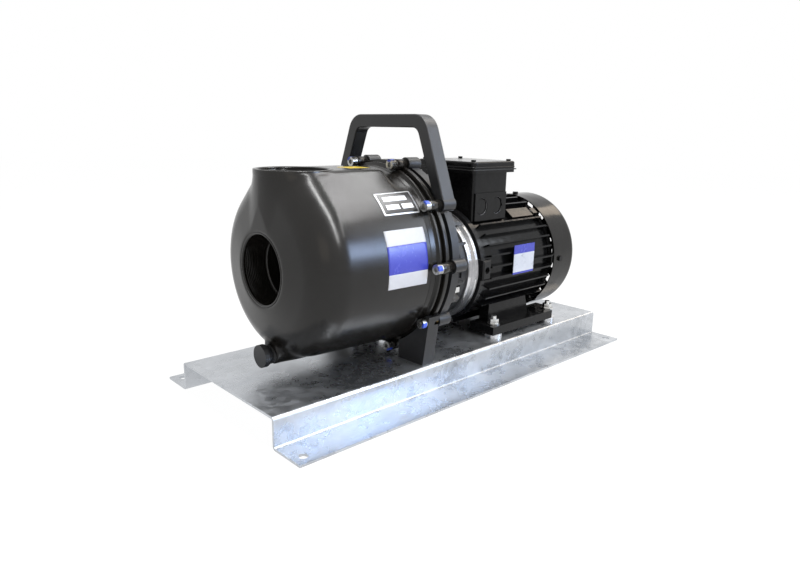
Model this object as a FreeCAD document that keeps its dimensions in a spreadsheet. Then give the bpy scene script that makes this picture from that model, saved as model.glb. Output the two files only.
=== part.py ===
import FreeCAD, Part
import math
import os
import re
import Sketcher
from FreeCAD import Placement, Rotation, Vector

# Self-priming transfer pump with a close-coupled electric motor on a folded steel base.
# Millimetres, and degrees for an angle. The origin is the middle of the base's underside,
# +X points from the suction port to the fan, +Z is up.

# Driving sizes, kept in the sheet under the same words
SIZES = {
    # Folded base
    "base_length": 650.0, "base_width": 220.0, "base_height": 39.0, "sheet_gauge": 3.0,
    "flange_width": 49.0, "bend_radius": 5.0, "fixing_hole": 11.0,
    "fixing_end": 14.0, "fixing_side": 35.0,
    # Pump body
    "pump_rise": 136.0, "body_front": 270.0, "face_depth": 13.0, "shoulder_radius": 46.0,
    "barrel_front_radius": 115.5, "barrel_rear_radius": 120.0, "body_wall": 9.0,
    "joint_depth": 72.0, "lip_radius": 124.5, "rim_radius": 128.0, "rim_width": 6.0,
    "lip_setback": 15.0, "lip_width": 3.0, "hollow_step": 8.0, "hollow_slope": 14.0,
    "port_bore": 85.0, "port_thread": 32.0, "port_bevel": 1.5, "port_wall": 5.5,
    "suction_bore": 76.0, "spigot_length": 30.0, "spigot_wall": 6.0,
    "discharge_setback": 50.0, "discharge_rise": 118.5, "ridge_length": 108.0,
    "ridge_draw": 4.0, "ridge_root": 38.5, "ridge_edge": 2.0, "seat_depth": 8.0,
    "overcut": 1.0,
    # Clamp bolts round the body joint
    "bolt_circle": 258.8, "bolt_size": 8.0, "bolt_hole": 9.0, "bolt_grip": 36.0,
    "cap_head": 13.0, "cap_height": 8.0, "small_boss": 14.0, "boss_length": 20.0,
    "large_boss": 18.0, "notch_gap": 2.2, "rear_boss_length": 23.0, "insert_size": 12.0,
    "insert_length": 17.0,
    # Drain
    "drain_rise": 27.0, "drain_boss": 27.0, "drain_bore": 16.0, "drain_front": 258.0,
    "drain_cap": 29.0, "drain_cap_width": 13.0, "drain_gap": 4.0, "drain_shank": 24.0,
    "thread_gap": 0.05, "drain_reach": 40.0, "drain_run": 20.0, "drain_lip": 4.0, "drain_neck": 3.0,
    # Check valve and the duct behind it
    "valve_seat": 66.0, "valve_disc": 72.0, "valve_rubber": 4.0, "valve_gap": 0.3,
    "pin_size": 5.0, "pin_rise": 42.0, "pin_setback": 6.0, "knuckle_radius": 5.0,
    "strap_width": 18.0, "lug_width": 6.0, "lug_gap": 0.5, "weight_size": 50.0,
    "weight_gauge": 5.0, "duct_radius": 56.0, "duct_wall": 4.0, "duct_chamber": 62.0,
    "duct_lap": 12.0, "slip_gap": 0.3,
    # Adapter between pump and motor
    "adapter_rim_gap": 4.0, "adapter_rim": 13.0, "web_sink": 2.0, "web_root": 6.0, "web_inset": 3.0,
    "adapter_plate": 10.0, "adapter_ring": 110.0,
    "ring_reach": 32.0, "ring_gauge": 4.5, "rib_gauge": 3.6, "rib_reach": 20.0,
    "rib_root": 12.0, "rib_drop": 3.0, "rib_sink": 1.0, "rib_nose": 8.0, "rib_undercut": 6.0,
    "hub_radius": 56.0, "hub_wall": 7.0, "hub_flange": 12.0, "hub_flange_radius": 77.0,
    "seal_chamber": 46.0, "seal_seat": 8.0, "joint_ring": 3.0, "joint_ring_radius": 117.0,
    "seal_head_radius": 20.0, "seat_clearance": 1.5, "spring_step": 2.0, "seal_bore_gap": 2.0,
    "flush_angle": 107.3, "flush_plug": 14.0, "flush_inset": 3.4, "flush_collar": 3.0,
    "flush_flats": 12.0, "flush_head": 8.0,
    # Volute and impeller
    "volute_radius": 74.0, "volute_depth": 27.0, "volute_wall": 5.0, "eye_radius": 30.0,
    "eye_length": 20.0, "throat_width": 34.0, "throat_rise": 82.0, "impeller_radius": 58.0,
    "impeller_gap": 1.0, "vane_height": 14.0, "vane_gauge": 4.0, "vane_setback": 1.5,
    "disc_gauge": 6.0, "vane_root": 3.0, "impeller_nut_flats": 24.0, "thread_end": 2.0,
    "impeller_hub": 36.0, "impeller_seat": 22.0, "impeller_thread": 16.0, "nut_length": 10.0,
    # Handle and foot
    "handle_rise": 187.0, "handle_gauge": 17.0, "handle_top_half": 72.0, "handle_width": 22.0,
    "handle_corner": 26.0, "handle_inner_corner": 13.0, "handle_edge": 2.0, "handle_inset": 12.24,
    "handle_edge_reach": 60.0, "ear_tuck": 1.0, "ear_drop": 2.0,
    "foot_depth": 20.0, "foot_top_half": 113.0, "foot_base_half": 103.0, "foot_top_margin": 8.5,
    "foot_clearance": 0.4, "foot_arch_half": 56.0, "foot_arch_rise": 30.0,
    "foot_screw_half": 85.0, "foot_screw_length": 20.0, "rim_setback": 8.0,
    # Motor
    "motor_height": 100.0, "spacer_height": 6.0, "motor_face": 20.0, "motor_flange": 160.0,
    "machined_width": 11.0, "shield_end": 48.0, "frame_end": 204.0, "frame_radius": 86.0,
    "frame_wall": 7.0, "fin_radius": 95.5, "fin_gauge": 2.6, "spigot_radius": 55.0,
    "spigot_depth": 3.5, "flange_bolt_circle": 130.0,
    "foot_spread": 160.0, "foot_pitch": 140.0, "foot_start": 63.5, "pad_gauge": 13.0,
    "pad_margin": 14.0, "pad_front": 17.5, "pad_rear": 5.0, "pad_tail": 14.0, "pad_taper": 32.0,
    "pad_width": 46.0, "foot_web_width": 18.0, "foot_web_rear": 34.0, "foot_web_top": 48.0,
    "foot_web_drop": 57.0, "foot_web_draft": 2.0, "washer_room": 2.0, "spacer_lip": 4.0,
    "shaft_size": 28.0, "bearing_bore": 30.0, "bearing_outer": 62.0, "bearing_width": 16.0,
    "race_radius": 21.5, "run_gap": 0.05, "stator_depth": 32.5, "air_gap": 0.5,
    "core_length": 88.0, "core_start": 82.0, "winding_reach": 20.0, "winding_step": 8.0,
    "winding_inset": 4.0, "step_radius": 84.0, "flange_trim": 0.5, "shield_band": 9.0,
    "shield_web": 20.0, "shield_cone": 20.0, "frame_lap": 4.0, "lap_wall": 7.0,
    "shield_radius": 88.0, "shield_wall": 8.0, "rear_shield_depth": 10.0,
    "rear_shield_slope": 14.0, "bearing_cap": 4.0, "bearing_draft": 6.0, "cowl_ear_root": 3.0,
    "cowl_ear_gap": 0.4, "shaft_shoulder": 5.0,
    "drive_bearing": 32.5, "rear_bearing": 196.5, "shaft_end": 246.0, "fan_seat": 24.0,
    "cowl_radius": 96.5, "cowl_gauge": 1.6, "cowl_start": 208.5, "cowl_end": 270.0,
    "cowl_corner": 12.0, "grille_start": 30.0, "grille_slot": 22.0,
    "grille_gap": 6.0, "grille_taper": 0.1, "fan_radius": 78.0,
    "fan_start": 224.0, "fan_depth": 20.0, "fan_hub": 9.0, "fan_hub_rear": 6.0, "fan_dish": 4.0,
    "fan_disc": 3.0, "fan_disc_inset": 14.0, "blade_gauge": 2.4, "blade_front": 3.0, "blade_rear": 2.0,
    # Terminal box
    "box_start": 50.0, "box_length": 80.0, "box_half": 55.0, "box_top": 142.0, "box_wall": 4.0,
    "lid_start": 46.0, "lid_length": 99.0, "lid_half": 58.0, "lid_height": 11.0,
    "gasket_gauge": 1.5, "gland_hole": 25.0, "gland_rise": 90.0,
    "box_corner": 6.0, "gland_pitch": 35.0, "gland_start": 18.0, "gland_sink": 3.5,
    "gland_floor": 9.0, "panel_gauge": 3.0, "panel_sink": 1.0, "panel_start": 3.0, "panel_end": 6.0,
    "panel_rise": 16.0, "plug_gap": 1.5, "board_rise": 12.0, "board_start": 15.0, "board_half": 30.0,
    "board_length": 50.0, "board_gauge": 12.0, "stud_start": 28.0, "stud_pitch": 24.0,
    "stud_spread": 20.0, "stud_radius": 3.0, "stud_height": 12.0, "lid_corner": 8.0, "lid_edge": 3.0,
    "lid_screw_inset": 9.0, "lid_screw_radius": 3.5, "lid_screw_height": 2.5,
    # Inside and round the motor
    "seal_lip": 8.0, "shaft_core": 20.0, "fin_start": 6.0, "land_width": 18.0,
    "fin_root": 1.0, "land_drop": 1.5, "lug_drop": 1.0, "tie_lug": 11.0, "tie_bolt": 4.4,
    "tie_gap": 0.2, "tie_flats": 7.48, "cowl_screw_reach": 26.0,
    "cowl_screw": 4.0, "cowl_screw_head": 9.0, "cowl_screw_cap": 3.0, "cowl_screw_inset": 6.0,
    "earth_lug": 29.0, "earth_reach": 14.0, "earth_root": 6.0, "earth_bevel": 2.0,
    "earth_screw": 9.0, "seal_gap": 0.1, "seal_setback": 1.0, "seal_width": 7.0,
    "slinger_setback": 40.0, "slinger_reach": 12.0, "slinger_gauge": 5.0,
    # Small hardware
    "nut_flats": 13.0, "nut_height": 6.5, "washer_size": 20.0, "washer_gauge": 1.6,
    "bolt_stand": 4.55, "bolt_bottom": 2.0,
}

PUMP_Z = "(base_height + pump_rise)"
MOTOR_Z = "(base_height + spacer_height + motor_height)"
SPIGOT_END = "(-body_front + port_thread + spigot_length)"
FLUSH_CIRCLE = "(2 * rim_radius - flush_plug - flush_inset)"
ROTOR_RADIUS = "(frame_radius - frame_wall - stator_depth - air_gap)"
BOLT_ANGLES = [18, 54, 90, 126, 162, 198, 234, 270, 306, 342]
HANDLE_ANGLES = [54, 306]
FOOT_ANGLES = [126, 234]
LUG_ANGLES = [45, 135, 225, 315]
RIB_TURNS = [-12, 12]
NOSE_ANGLES = [0, 45, 90]
FOOT_SCREWS = [("-joint_depth - boss_length + foot_depth / 2", f"{side} * foot_screw_half")
               for side in (-1, 1)]
VANES = 6
# Backward sweep of a vane as shares of the impeller's radius, and its slanting thickness
VANE_MIDDLE, VANE_TIP_FRONT, VANE_TIP_BACK = (0.36, 0.66), (0.80, 0.52), (0.76, 0.58)
VANE_SLANT = 1.4

doc = FreeCAD.newDocument("TransferPump")
nodes = []


def fill_sheet():
    sheet = doc.addObject("Spreadsheet::Sheet", "Sizes")
    for row, (word, number) in enumerate(SIZES.items(), start=1):
        sheet.set(f"A{row}", str(number))
        sheet.setAlias(f"A{row}", word)
    doc.recompute()


def bound(text):
    """An expression in plain words, with each size read from the sheet."""
    return re.sub(r"[a-z_]+", lambda m: f"Sizes.{m[0]}" if m[0] in SIZES else m[0], str(text))


def bind(thing, **exprs):
    for prop, text in exprs.items():
        thing.setExpression(prop.replace("__", "."), bound(text))
    return thing


def keep(thing, label):
    """Mark an object as one sub-part under its own name."""
    thing.Label = label
    nodes.append(thing)
    return thing


# Primitives and booleans

AXIS_TURN = {
    "x": Rotation(Vector(0, 1, 0), 90),
    "y": Rotation(Vector(1, 0, 0), -90),
    "z": Rotation(),
}


def place(thing, x, y, z, turn=None):
    thing.Placement = Placement(Vector(), turn or Rotation())
    return bind(thing, Placement__Base__x=x, Placement__Base__y=y, Placement__Base__z=z)


def cylinder(axis, x, y, z, radius, length):
    """A round bar from (x, y, z) along an axis."""
    bar = doc.addObject("Part::Cylinder", "bar")
    bind(bar, Radius=radius, Height=length)
    return place(bar, x, y, z, AXIS_TURN[axis])


def cone(axis, x, y, z, radius_a, radius_b, length):
    bar = doc.addObject("Part::Cone", "taper")
    bind(bar, Radius1=radius_a, Radius2=radius_b, Height=length)
    return place(bar, x, y, z, AXIS_TURN[axis])


def hexagon(axis, x, y, z, flats, length):
    bar = doc.addObject("Part::Prism", "hexagon")
    bar.Polygon = 6
    bind(bar, Circumradius=f"({flats}) / sqrt(3)", Height=length)
    return place(bar, x, y, z, AXIS_TURN[axis])


def block(x, y, z, length, width, height):
    """A box from its lowest corner."""
    solid = doc.addObject("Part::Box", "block")
    bind(solid, Length=length, Width=width, Height=height)
    return place(solid, x, y, z)


def fuse(*shapes):
    joined = doc.addObject("Part::MultiFuse", "joined")
    joined.Shapes = list(shapes)
    joined.Refine = True
    return joined


def cut(base, *tools):
    less = doc.addObject("Part::Cut", "less")
    less.Base = base
    less.Tool = tools[0] if len(tools) == 1 else fuse(*tools)
    return less


def group(*shapes):
    """Separate solids that share one node."""
    together = doc.addObject("Part::Compound", "group")
    together.Links = list(shapes)
    return together


def tube(axis, x, y, z, outer, inner, length):
    return cut(cylinder(axis, x, y, z, outer, length), cylinder(axis, x, y, z, inner, length))


# Sketched bodies

def new_body(label):
    return keep(doc.addObject("PartDesign::Body", label), label)


def new_sketch(body, role, up="0", out="0", turn=0):
    """A sketch on one of the body's own planes, moved up in it and out along its normal,
    then turned about its own first axis."""
    sketch = body.newObject("Sketcher::SketchObject", "outline")
    plane = next(f for f in body.Origin.OriginFeatures if f.Role == role)
    sketch.AttachmentSupport = [(plane, "")]
    sketch.MapMode = "FlatFace"
    sketch.AttachmentOffset = Placement(Vector(), Rotation(Vector(1, 0, 0), turn))
    bind(sketch, AttachmentOffset__Base__y=up, AttachmentOffset__Base__z=out)
    return sketch


def fix_coordinate(sketch, kind, axis, geometry, point, text):
    if str(text) == "0":
        sketch.addConstraint(Sketcher.Constraint("PointOnObject", geometry, point, axis))
        return
    index = sketch.addConstraint(Sketcher.Constraint(kind, -1, 1, geometry, point, 1.0))
    sketch.setExpression(f"Constraints[{index}]", bound(text))


def polygon(sketch, corners):
    """A closed outline with every corner fixed by its own two sizes."""
    first = sketch.GeometryCount
    count = len(corners)
    rough = [Vector(math.cos(2 * math.pi * i / count), math.sin(2 * math.pi * i / count), 0)
             for i in range(count)]
    for i in range(count):
        sketch.addGeometry(Part.LineSegment(rough[i], rough[(i + 1) % count]), False)
    for i, (across, up) in enumerate(corners):
        follower = first + (i + 1) % count
        sketch.addConstraint(Sketcher.Constraint("Coincident", first + i, 2, follower, 1))
        fix_coordinate(sketch, "DistanceX", -2, first + i, 1, across)
        fix_coordinate(sketch, "DistanceY", -1, first + i, 1, up)
    return sketch


def circle(sketch, across, up, radius):
    index = sketch.addGeometry(Part.Circle(Vector(), Vector(0, 0, 1), 1.0), False)
    fix_coordinate(sketch, "DistanceX", -2, index, 3, across)
    fix_coordinate(sketch, "DistanceY", -1, index, 3, up)
    size = sketch.addConstraint(Sketcher.Constraint("Radius", index, 1.0))
    sketch.setExpression(f"Constraints[{size}]", bound(radius))
    return sketch


def feature(body, kind, sketch, **exprs):
    step = body.newObject(f"PartDesign::{kind}", kind.lower())
    step.Profile = sketch
    return bind(step, **exprs)


def revolve(body, sketch, kind="Revolution"):
    step = feature(body, kind, sketch)
    step.ReferenceAxis = (sketch, ["H_Axis"])
    step.Angle = 360
    return step


def cut_through(body, sketch, both_ways=True):
    """A pocket that runs through the whole solid, either side of its sketch."""
    step = feature(body, "Pocket", sketch)
    step.Type = "ThroughAll"
    step.Midplane = both_ways
    return step


def around(body, steps, sketch, count):
    """Repeat features evenly about a sketch's first axis."""
    pattern = body.newObject("PartDesign::PolarPattern", "pattern")
    pattern.Originals = steps
    pattern.Axis = (sketch, ["H_Axis"])
    pattern.Angle = 360
    pattern.Occurrences = count
    body.Tip = pattern
    return pattern


def round_edges(body, radius, test, kind="Fillet"):
    """Round (or bevel) the edges of the body's last step that pass the test."""
    doc.recompute()
    base = body.Tip
    names = [f"Edge{i + 1}" for i, edge in enumerate(base.Shape.Edges) if test(edge)]
    step = body.newObject(f"PartDesign::{kind}", kind.lower())
    step.Base = (base, names)
    return bind(step, **{"Radius" if kind == "Fillet" else "Size": radius})


def near(a, b, slack=0.05):
    return abs(a - b) < slack


def is_ring(edge, x, radius):
    """A round edge about the X direction at a given place and radius."""
    curve = edge.Curve
    return (isinstance(curve, Part.Circle) and near(curve.Radius, radius)
            and near(curve.Center.x, x) and near(abs(curve.Axis.x), 1))


def runs_along(edge, direction):
    if not isinstance(edge.Curve, Part.Line):
        return False
    return near(abs(edge.Curve.Direction.dot(direction)), 1, 1e-4)


def on_circle(angle, circle_size, centre_z):
    """Expressions for a point on a circle about X, its angle from the top towards -Y."""
    reach = f"({circle_size}) / 2"
    return f"-{reach} * sin({angle})", f"{centre_z} + {reach} * cos({angle})"


# Folded steel base

def make_base():
    body = new_body("base_plate")
    half, foot = "base_width / 2", "(base_width / 2 + flange_width)"
    sketch = new_sketch(body, "YZ_Plane", out="-base_length / 2")
    right = [(foot, "0"), (foot, "sheet_gauge"), (half, "sheet_gauge"), (half, "base_height")]
    left = [(f"-({across})", up) for across, up in reversed(right)]
    under = [(f"-({half}) + sheet_gauge", "0"), (f"-({half}) + sheet_gauge", "base_height - sheet_gauge"),
             (f"{half} - sheet_gauge", "base_height - sheet_gauge"), (f"{half} - sheet_gauge", "0")]
    polygon(sketch, right + left + under)
    feature(body, "Pad", sketch, Length="base_length")
    size = SIZES
    width, height, gauge = size["base_width"] / 2, size["base_height"], size["sheet_gauge"]
    outer = [(width, height)]
    inner = [(width - gauge, height - gauge)]
    hollow = [(width, gauge)]
    heel = [(width - gauge, 0.0)]

    def at_bend(places):
        def test(edge):
            middle = edge.CenterOfMass
            return runs_along(edge, Vector(1, 0, 0)) and any(
                near(abs(middle.y), y) and near(middle.z, z) for y, z in places)
        return test
    round_edges(body, "bend_radius", at_bend(outer + heel))
    round_edges(body, "bend_radius - sheet_gauge", at_bend(inner + hollow))
    holes = new_sketch(body, "XY_Plane")
    for end in (-1, 1):
        for side in (-1, 1):
            circle(holes, f"{end} * (base_length / 2 - fixing_end)",
                   f"{side} * (base_width / 2 + fixing_side)", "fixing_hole / 2")
            circle(holes, f"motor_face + foot_start + (1 + {end}) / 2 * foot_pitch",
                   f"{side} * foot_spread / 2", "bolt_hole / 2")
    for x, y in FOOT_SCREWS:
        circle(holes, x, y, "bolt_hole / 2")
    cut_through(body, holes)


# Pump body

def barrel_outline(sketch, inset, front, rear):
    """Half section of the body shell: domed face, shoulder corner, tapered barrel."""
    polygon(sketch, [
        (f"-body_front + {front}", "0"),
        (f"-body_front + {front}", "port_bore / 2 + port_wall"),
        (f"-body_front + face_depth + {inset}", f"barrel_front_radius - {inset}"),
        (f"-joint_depth - {rear}", f"barrel_rear_radius - {inset}"),
        (f"-joint_depth - {rear}", "0"),
    ])


def make_pump_body():
    body = new_body("pump_body")
    size = SIZES
    shell = new_sketch(body, "XZ_Plane", up=PUMP_Z)
    barrel_outline(shell, "0", "0", "0")
    revolve(body, shell)
    corner_x = -size["body_front"] + size["face_depth"]
    round_edges(body, "shoulder_radius",
                lambda e: is_ring(e, corner_x, size["barrel_front_radius"]))
    # Flat-topped ridge that carries the discharge port
    top = new_sketch(body, "XY_Plane", out=f"{PUMP_Z} + discharge_rise")
    collar = "(port_bore / 2 + port_wall)"
    circle(top, "-body_front + discharge_setback", "0", collar)
    stem = feature(body, "Pad", top, Length="discharge_rise - ridge_root")
    stem.Reversed = True
    ridge = new_sketch(body, "XY_Plane", out=f"{PUMP_Z} + discharge_rise")
    start = "-body_front + discharge_setback"
    polygon(ridge, [(start, f"-{collar}"), (f"{start} + ridge_length", f"-{collar} + ridge_draw"),
                    (f"{start} + ridge_length", f"{collar} - ridge_draw"), (start, collar)])
    spine = feature(body, "Pad", ridge, Length="discharge_rise - ridge_root")
    spine.Reversed = True
    face_z = size["base_height"] + size["pump_rise"] + size["discharge_rise"]
    ridge_x = -size["body_front"] + size["discharge_setback"] + size["ridge_length"]

    def on_face(edge):
        flat = near(edge.BoundBox.ZMin, face_z) and near(edge.BoundBox.ZMax, face_z)
        return flat and edge.BoundBox.XMin < ridge_x - size["ridge_edge"]
    round_edges(body, "ridge_edge", on_face)
    # Lip and rim at the joint
    rings = new_sketch(body, "XZ_Plane", up=PUMP_Z)
    for start_x, width, radius in (("joint_depth + lip_setback", "lip_width", "lip_radius"),
                                   ("joint_depth + rim_setback", "rim_width", "rim_radius")):
        polygon(rings, [(f"-({start_x})", "barrel_front_radius"), (f"-({start_x})", radius),
                        (f"-({start_x}) + {width}", radius),
                        (f"-({start_x}) + {width}", "barrel_front_radius")])
    revolve(body, rings)
    bosses = new_sketch(body, "YZ_Plane", out="-joint_depth - boss_length")
    for angle in BOLT_ANGLES:
        if angle not in FOOT_ANGLES:
            circle(bosses, *on_circle(angle, "bolt_circle", PUMP_Z), "small_boss / 2")
    feature(body, "Pad", bosses, Length="boss_length")
    short = new_sketch(body, "YZ_Plane", out="-joint_depth - rim_setback")
    for angle in FOOT_ANGLES:
        circle(short, *on_circle(angle, "bolt_circle", PUMP_Z), "small_boss / 2")
    feature(body, "Pad", short, Length="rim_setback")
    drain = new_sketch(body, "YZ_Plane", out="-drain_front")
    circle(drain, "0", "base_height + drain_rise", "drain_boss / 2")
    feature(body, "Pad", drain, Length="body_wall + drain_reach")
    # Hollow, with a suction spigot left standing inside
    hollow = new_sketch(body, "XZ_Plane", up=PUMP_Z)
    spigot = "suction_bore / 2 + spigot_wall"
    polygon(hollow, [
        ("-body_front + port_thread + body_wall", spigot),
        ("-body_front + port_thread + body_wall", "barrel_front_radius - body_wall - hollow_step"),
        ("-body_front + port_thread + body_wall + hollow_slope", "barrel_front_radius - body_wall"),
        ("-joint_depth", "barrel_rear_radius - body_wall"),
        ("-joint_depth", "0"),
        (SPIGOT_END, "0"), (SPIGOT_END, spigot),
    ])
    revolve(body, hollow, "Groove")
    ports = new_sketch(body, "XZ_Plane", up=PUMP_Z)
    polygon(ports, [
        ("-body_front - overcut", "0"), ("-body_front - overcut", "port_bore / 2 + port_bevel + overcut"),
        ("-body_front + port_bevel", "port_bore / 2"), ("-body_front + port_thread", "port_bore / 2"),
        ("-body_front + port_thread", "suction_bore / 2"),
        (f"{SPIGOT_END} - seat_depth", "suction_bore / 2"),
        (f"{SPIGOT_END} - seat_depth", "valve_seat / 2"),
        (f"{SPIGOT_END} + overcut", "valve_seat / 2"), (f"{SPIGOT_END} + overcut", "0"),
    ])
    revolve(body, ports, "Groove")
    mouth = new_sketch(body, "XY_Plane", out=f"{PUMP_Z} + discharge_rise")
    circle(mouth, "-body_front + discharge_setback", "0", "port_bore / 2")
    feature(body, "Pocket", mouth, Length="discharge_rise - barrel_front_radius + port_thread")
    round_edges(body, "port_bevel",
                lambda e: isinstance(e.Curve, Part.Circle) and near(e.Curve.Radius, size["port_bore"] / 2)
                and near(e.Curve.Center.z, face_z), "Chamfer")
    holes = new_sketch(body, "YZ_Plane", out="-joint_depth")
    for angle in BOLT_ANGLES:
        circle(holes, *on_circle(angle, "bolt_circle", PUMP_Z), "bolt_hole / 2")
    cut_through(body, holes)
    outlet = new_sketch(body, "YZ_Plane", out="-drain_front")
    circle(outlet, "0", "base_height + drain_rise", "drain_bore / 2")
    hole = feature(body, "Pocket", outlet, Length="drain_shank + drain_run")
    hole.Reversed = True
    return body


# Inside the pump

PIN_X = f"({SPIGOT_END} + pin_setback)"
PIN_Z = f"({PUMP_Z} + pin_rise)"


def make_check_valve():
    face = f"{SPIGOT_END} + valve_gap"
    disc = cylinder("x", face, "0", PUMP_Z, "valve_disc / 2", "valve_rubber")
    strap = block(face, "-strap_width / 2", f"{PIN_Z} - pin_rise / 3", "valve_rubber",
                  "strap_width", "pin_rise / 3")
    knuckle = cylinder("y", PIN_X, "-strap_width / 2", PIN_Z, "knuckle_radius", "strap_width")
    bore = cylinder("y", PIN_X, "-strap_width", PIN_Z, "pin_size / 2 + run_gap", "2 * strap_width")
    keep(cut(fuse(disc, strap, knuckle), bore), "check_valve_flap")
    weight = cylinder("x", f"{face} + valve_rubber", "0", PUMP_Z, "weight_size / 2", "weight_gauge")
    keep(weight, "check_valve_weight")
    reach = "(strap_width / 2 + lug_gap + lug_width)"
    keep(cylinder("y", PIN_X, f"-{reach}", PIN_Z, "pin_size / 2", f"2 * {reach}"), "valve_hinge_pin")
    ears = [block(f"{SPIGOT_END} - knuckle_radius", start, f"{PIN_Z} - knuckle_radius",
                  "pin_setback + 2 * knuckle_radius", "lug_width", "2 * knuckle_radius")
            for start in (f"-{reach}", f"{reach} - lug_width")]
    hole = cylinder("y", PIN_X, f"-{reach} - overcut", PIN_Z, "pin_size / 2",
                    f"2 * ({reach} + overcut)")
    seat = cylinder("x", f"{SPIGOT_END} - 2 * knuckle_radius", "0", PUMP_Z,
                    "suction_bore / 2 + spigot_wall", "2 * knuckle_radius")
    keep(cut(group(*ears), hole, seat), "valve_pin_lugs")


def make_volute():
    """Round case with an eye neck towards the suction and a rising throat."""
    body = new_body("volute")
    joint = "-joint_depth"

    def pad(sketch, length):
        feature(body, "Pad", sketch, Length=length).Reversed = True
    pad(circle(new_sketch(body, "YZ_Plane", out=joint), "0", MOTOR_Z, "volute_radius"), "volute_depth")
    pad(circle(new_sketch(body, "YZ_Plane", out=f"{joint} - volute_depth"), "0", MOTOR_Z,
               "eye_radius + volute_wall"), "eye_length")
    inner, outer = "(volute_radius - throat_width)", "volute_radius"
    top = f"{MOTOR_Z} + throat_rise"
    throat = new_sketch(body, "YZ_Plane", out=joint)
    polygon(throat, [(inner, MOTOR_Z), (outer, MOTOR_Z), (f"{outer} - volute_wall", top), (inner, top)])
    pad(throat, "volute_depth")
    room = circle(new_sketch(body, "YZ_Plane", out=joint), "0", MOTOR_Z, "volute_radius - volute_wall")
    feature(body, "Pocket", room, Length="volute_depth - volute_wall")
    outlet = new_sketch(body, "YZ_Plane", out=joint)
    polygon(outlet, [(f"{inner} + volute_wall", MOTOR_Z), (f"{outer} - volute_wall", MOTOR_Z),
                     (f"{outer} - 2 * volute_wall", f"{top} + overcut"),
                     (f"{inner} + volute_wall", f"{top} + overcut")])
    feature(body, "Pocket", outlet, Length="volute_depth - volute_wall")
    bore = circle(new_sketch(body, "YZ_Plane", out=joint), "0", MOTOR_Z, "eye_radius")
    feature(body, "Pocket", bore, Length="volute_depth + eye_length + overcut")


def loft(body, kind, sections):
    """A loft through circles given as (x, axis height, radius)."""
    sketches = [circle(new_sketch(body, "YZ_Plane", out=x), "0", z, radius) for x, z, radius in sections]
    step = body.newObject(f"PartDesign::{kind}", "loft")
    step.Profile = sketches[0]
    step.Sections = sketches[1:]
    step.Ruled = True
    return step


def make_suction_duct():
    """Moulded duct: check valve chamber on the spigot, dropping to the lower impeller eye."""
    body = new_body("suction_duct")
    front = f"({SPIGOT_END} - duct_lap)"
    bend = f"({front} + duct_chamber)"
    back = "(-joint_depth - volute_depth - eye_length + duct_lap / 2)"
    neck = "(eye_radius + volute_wall + slip_gap)"
    loft(body, "AdditiveLoft", [(front, PUMP_Z, "duct_radius"), (bend, PUMP_Z, "duct_radius"),
                                (f"{back} - duct_lap", MOTOR_Z, f"{neck} + duct_wall"),
                                (back, MOTOR_Z, f"{neck} + duct_wall")])
    loft(body, "SubtractiveLoft", [
        (f"{front} + duct_wall", PUMP_Z, "duct_radius - duct_wall"),
        (bend, PUMP_Z, "duct_radius - duct_wall"),
        (f"{back} - duct_lap - duct_wall", MOTOR_Z, "eye_radius"),
        (f"{back} + overcut", MOTOR_Z, "eye_radius")])
    socket = circle(new_sketch(body, "YZ_Plane", out=back), "0", MOTOR_Z, neck)
    feature(body, "Pocket", socket, Length="duct_lap / 2 + slip_gap")
    mouth = circle(new_sketch(body, "YZ_Plane", out=front), "0", PUMP_Z,
                   "suction_bore / 2 + spigot_wall + slip_gap")
    feature(body, "Pocket", mouth, Length="duct_wall + overcut").Reversed = True


def make_impeller():
    """Semi-open impeller: back disc, hub and backward-swept vanes that face the eye."""
    body = new_body("impeller")
    back = "(-joint_depth - impeller_gap)"

    def pad(sketch, length):
        step = feature(body, "Pad", sketch, Length=length)
        step.Reversed = True
        return step
    pad(circle(new_sketch(body, "YZ_Plane", out=back), "0", MOTOR_Z, "impeller_radius"), "disc_gauge")
    pad(circle(new_sketch(body, "YZ_Plane", out=back), "0", MOTOR_Z, "impeller_hub / 2"),
        "disc_gauge + vane_height")
    axis = new_sketch(body, "XZ_Plane", up=MOTOR_Z)
    circle(axis, "0", "vane_gauge", "1")
    root, tip = "(impeller_hub / 2 - vane_root)", "impeller_radius"
    (mid_y, mid_z), (front_y, front_z), (back_y, back_z) = VANE_MIDDLE, VANE_TIP_FRONT, VANE_TIP_BACK
    vane = new_sketch(body, "YZ_Plane", up=MOTOR_Z, out=f"{back} - disc_gauge")
    polygon(vane, [("0", root), ("vane_gauge", root),
                   (f"{mid_y} * {tip} + vane_gauge", f"{mid_z} * {tip} - {VANE_SLANT} * vane_gauge"),
                   (f"{front_y} * {tip}", f"{front_z} * {tip}"), (f"{back_y} * {tip}", f"{back_z} * {tip}"),
                   (f"{mid_y} * {tip} + vane_gauge", f"{mid_z} * {tip}")])
    around(body, [pad(vane, "vane_height - vane_setback")], axis, VANES)
    bore = circle(new_sketch(body, "YZ_Plane", out=back), "0", MOTOR_Z, "impeller_seat / 2")
    feature(body, "Pocket", bore, Length="disc_gauge + vane_height + overcut")


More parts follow.
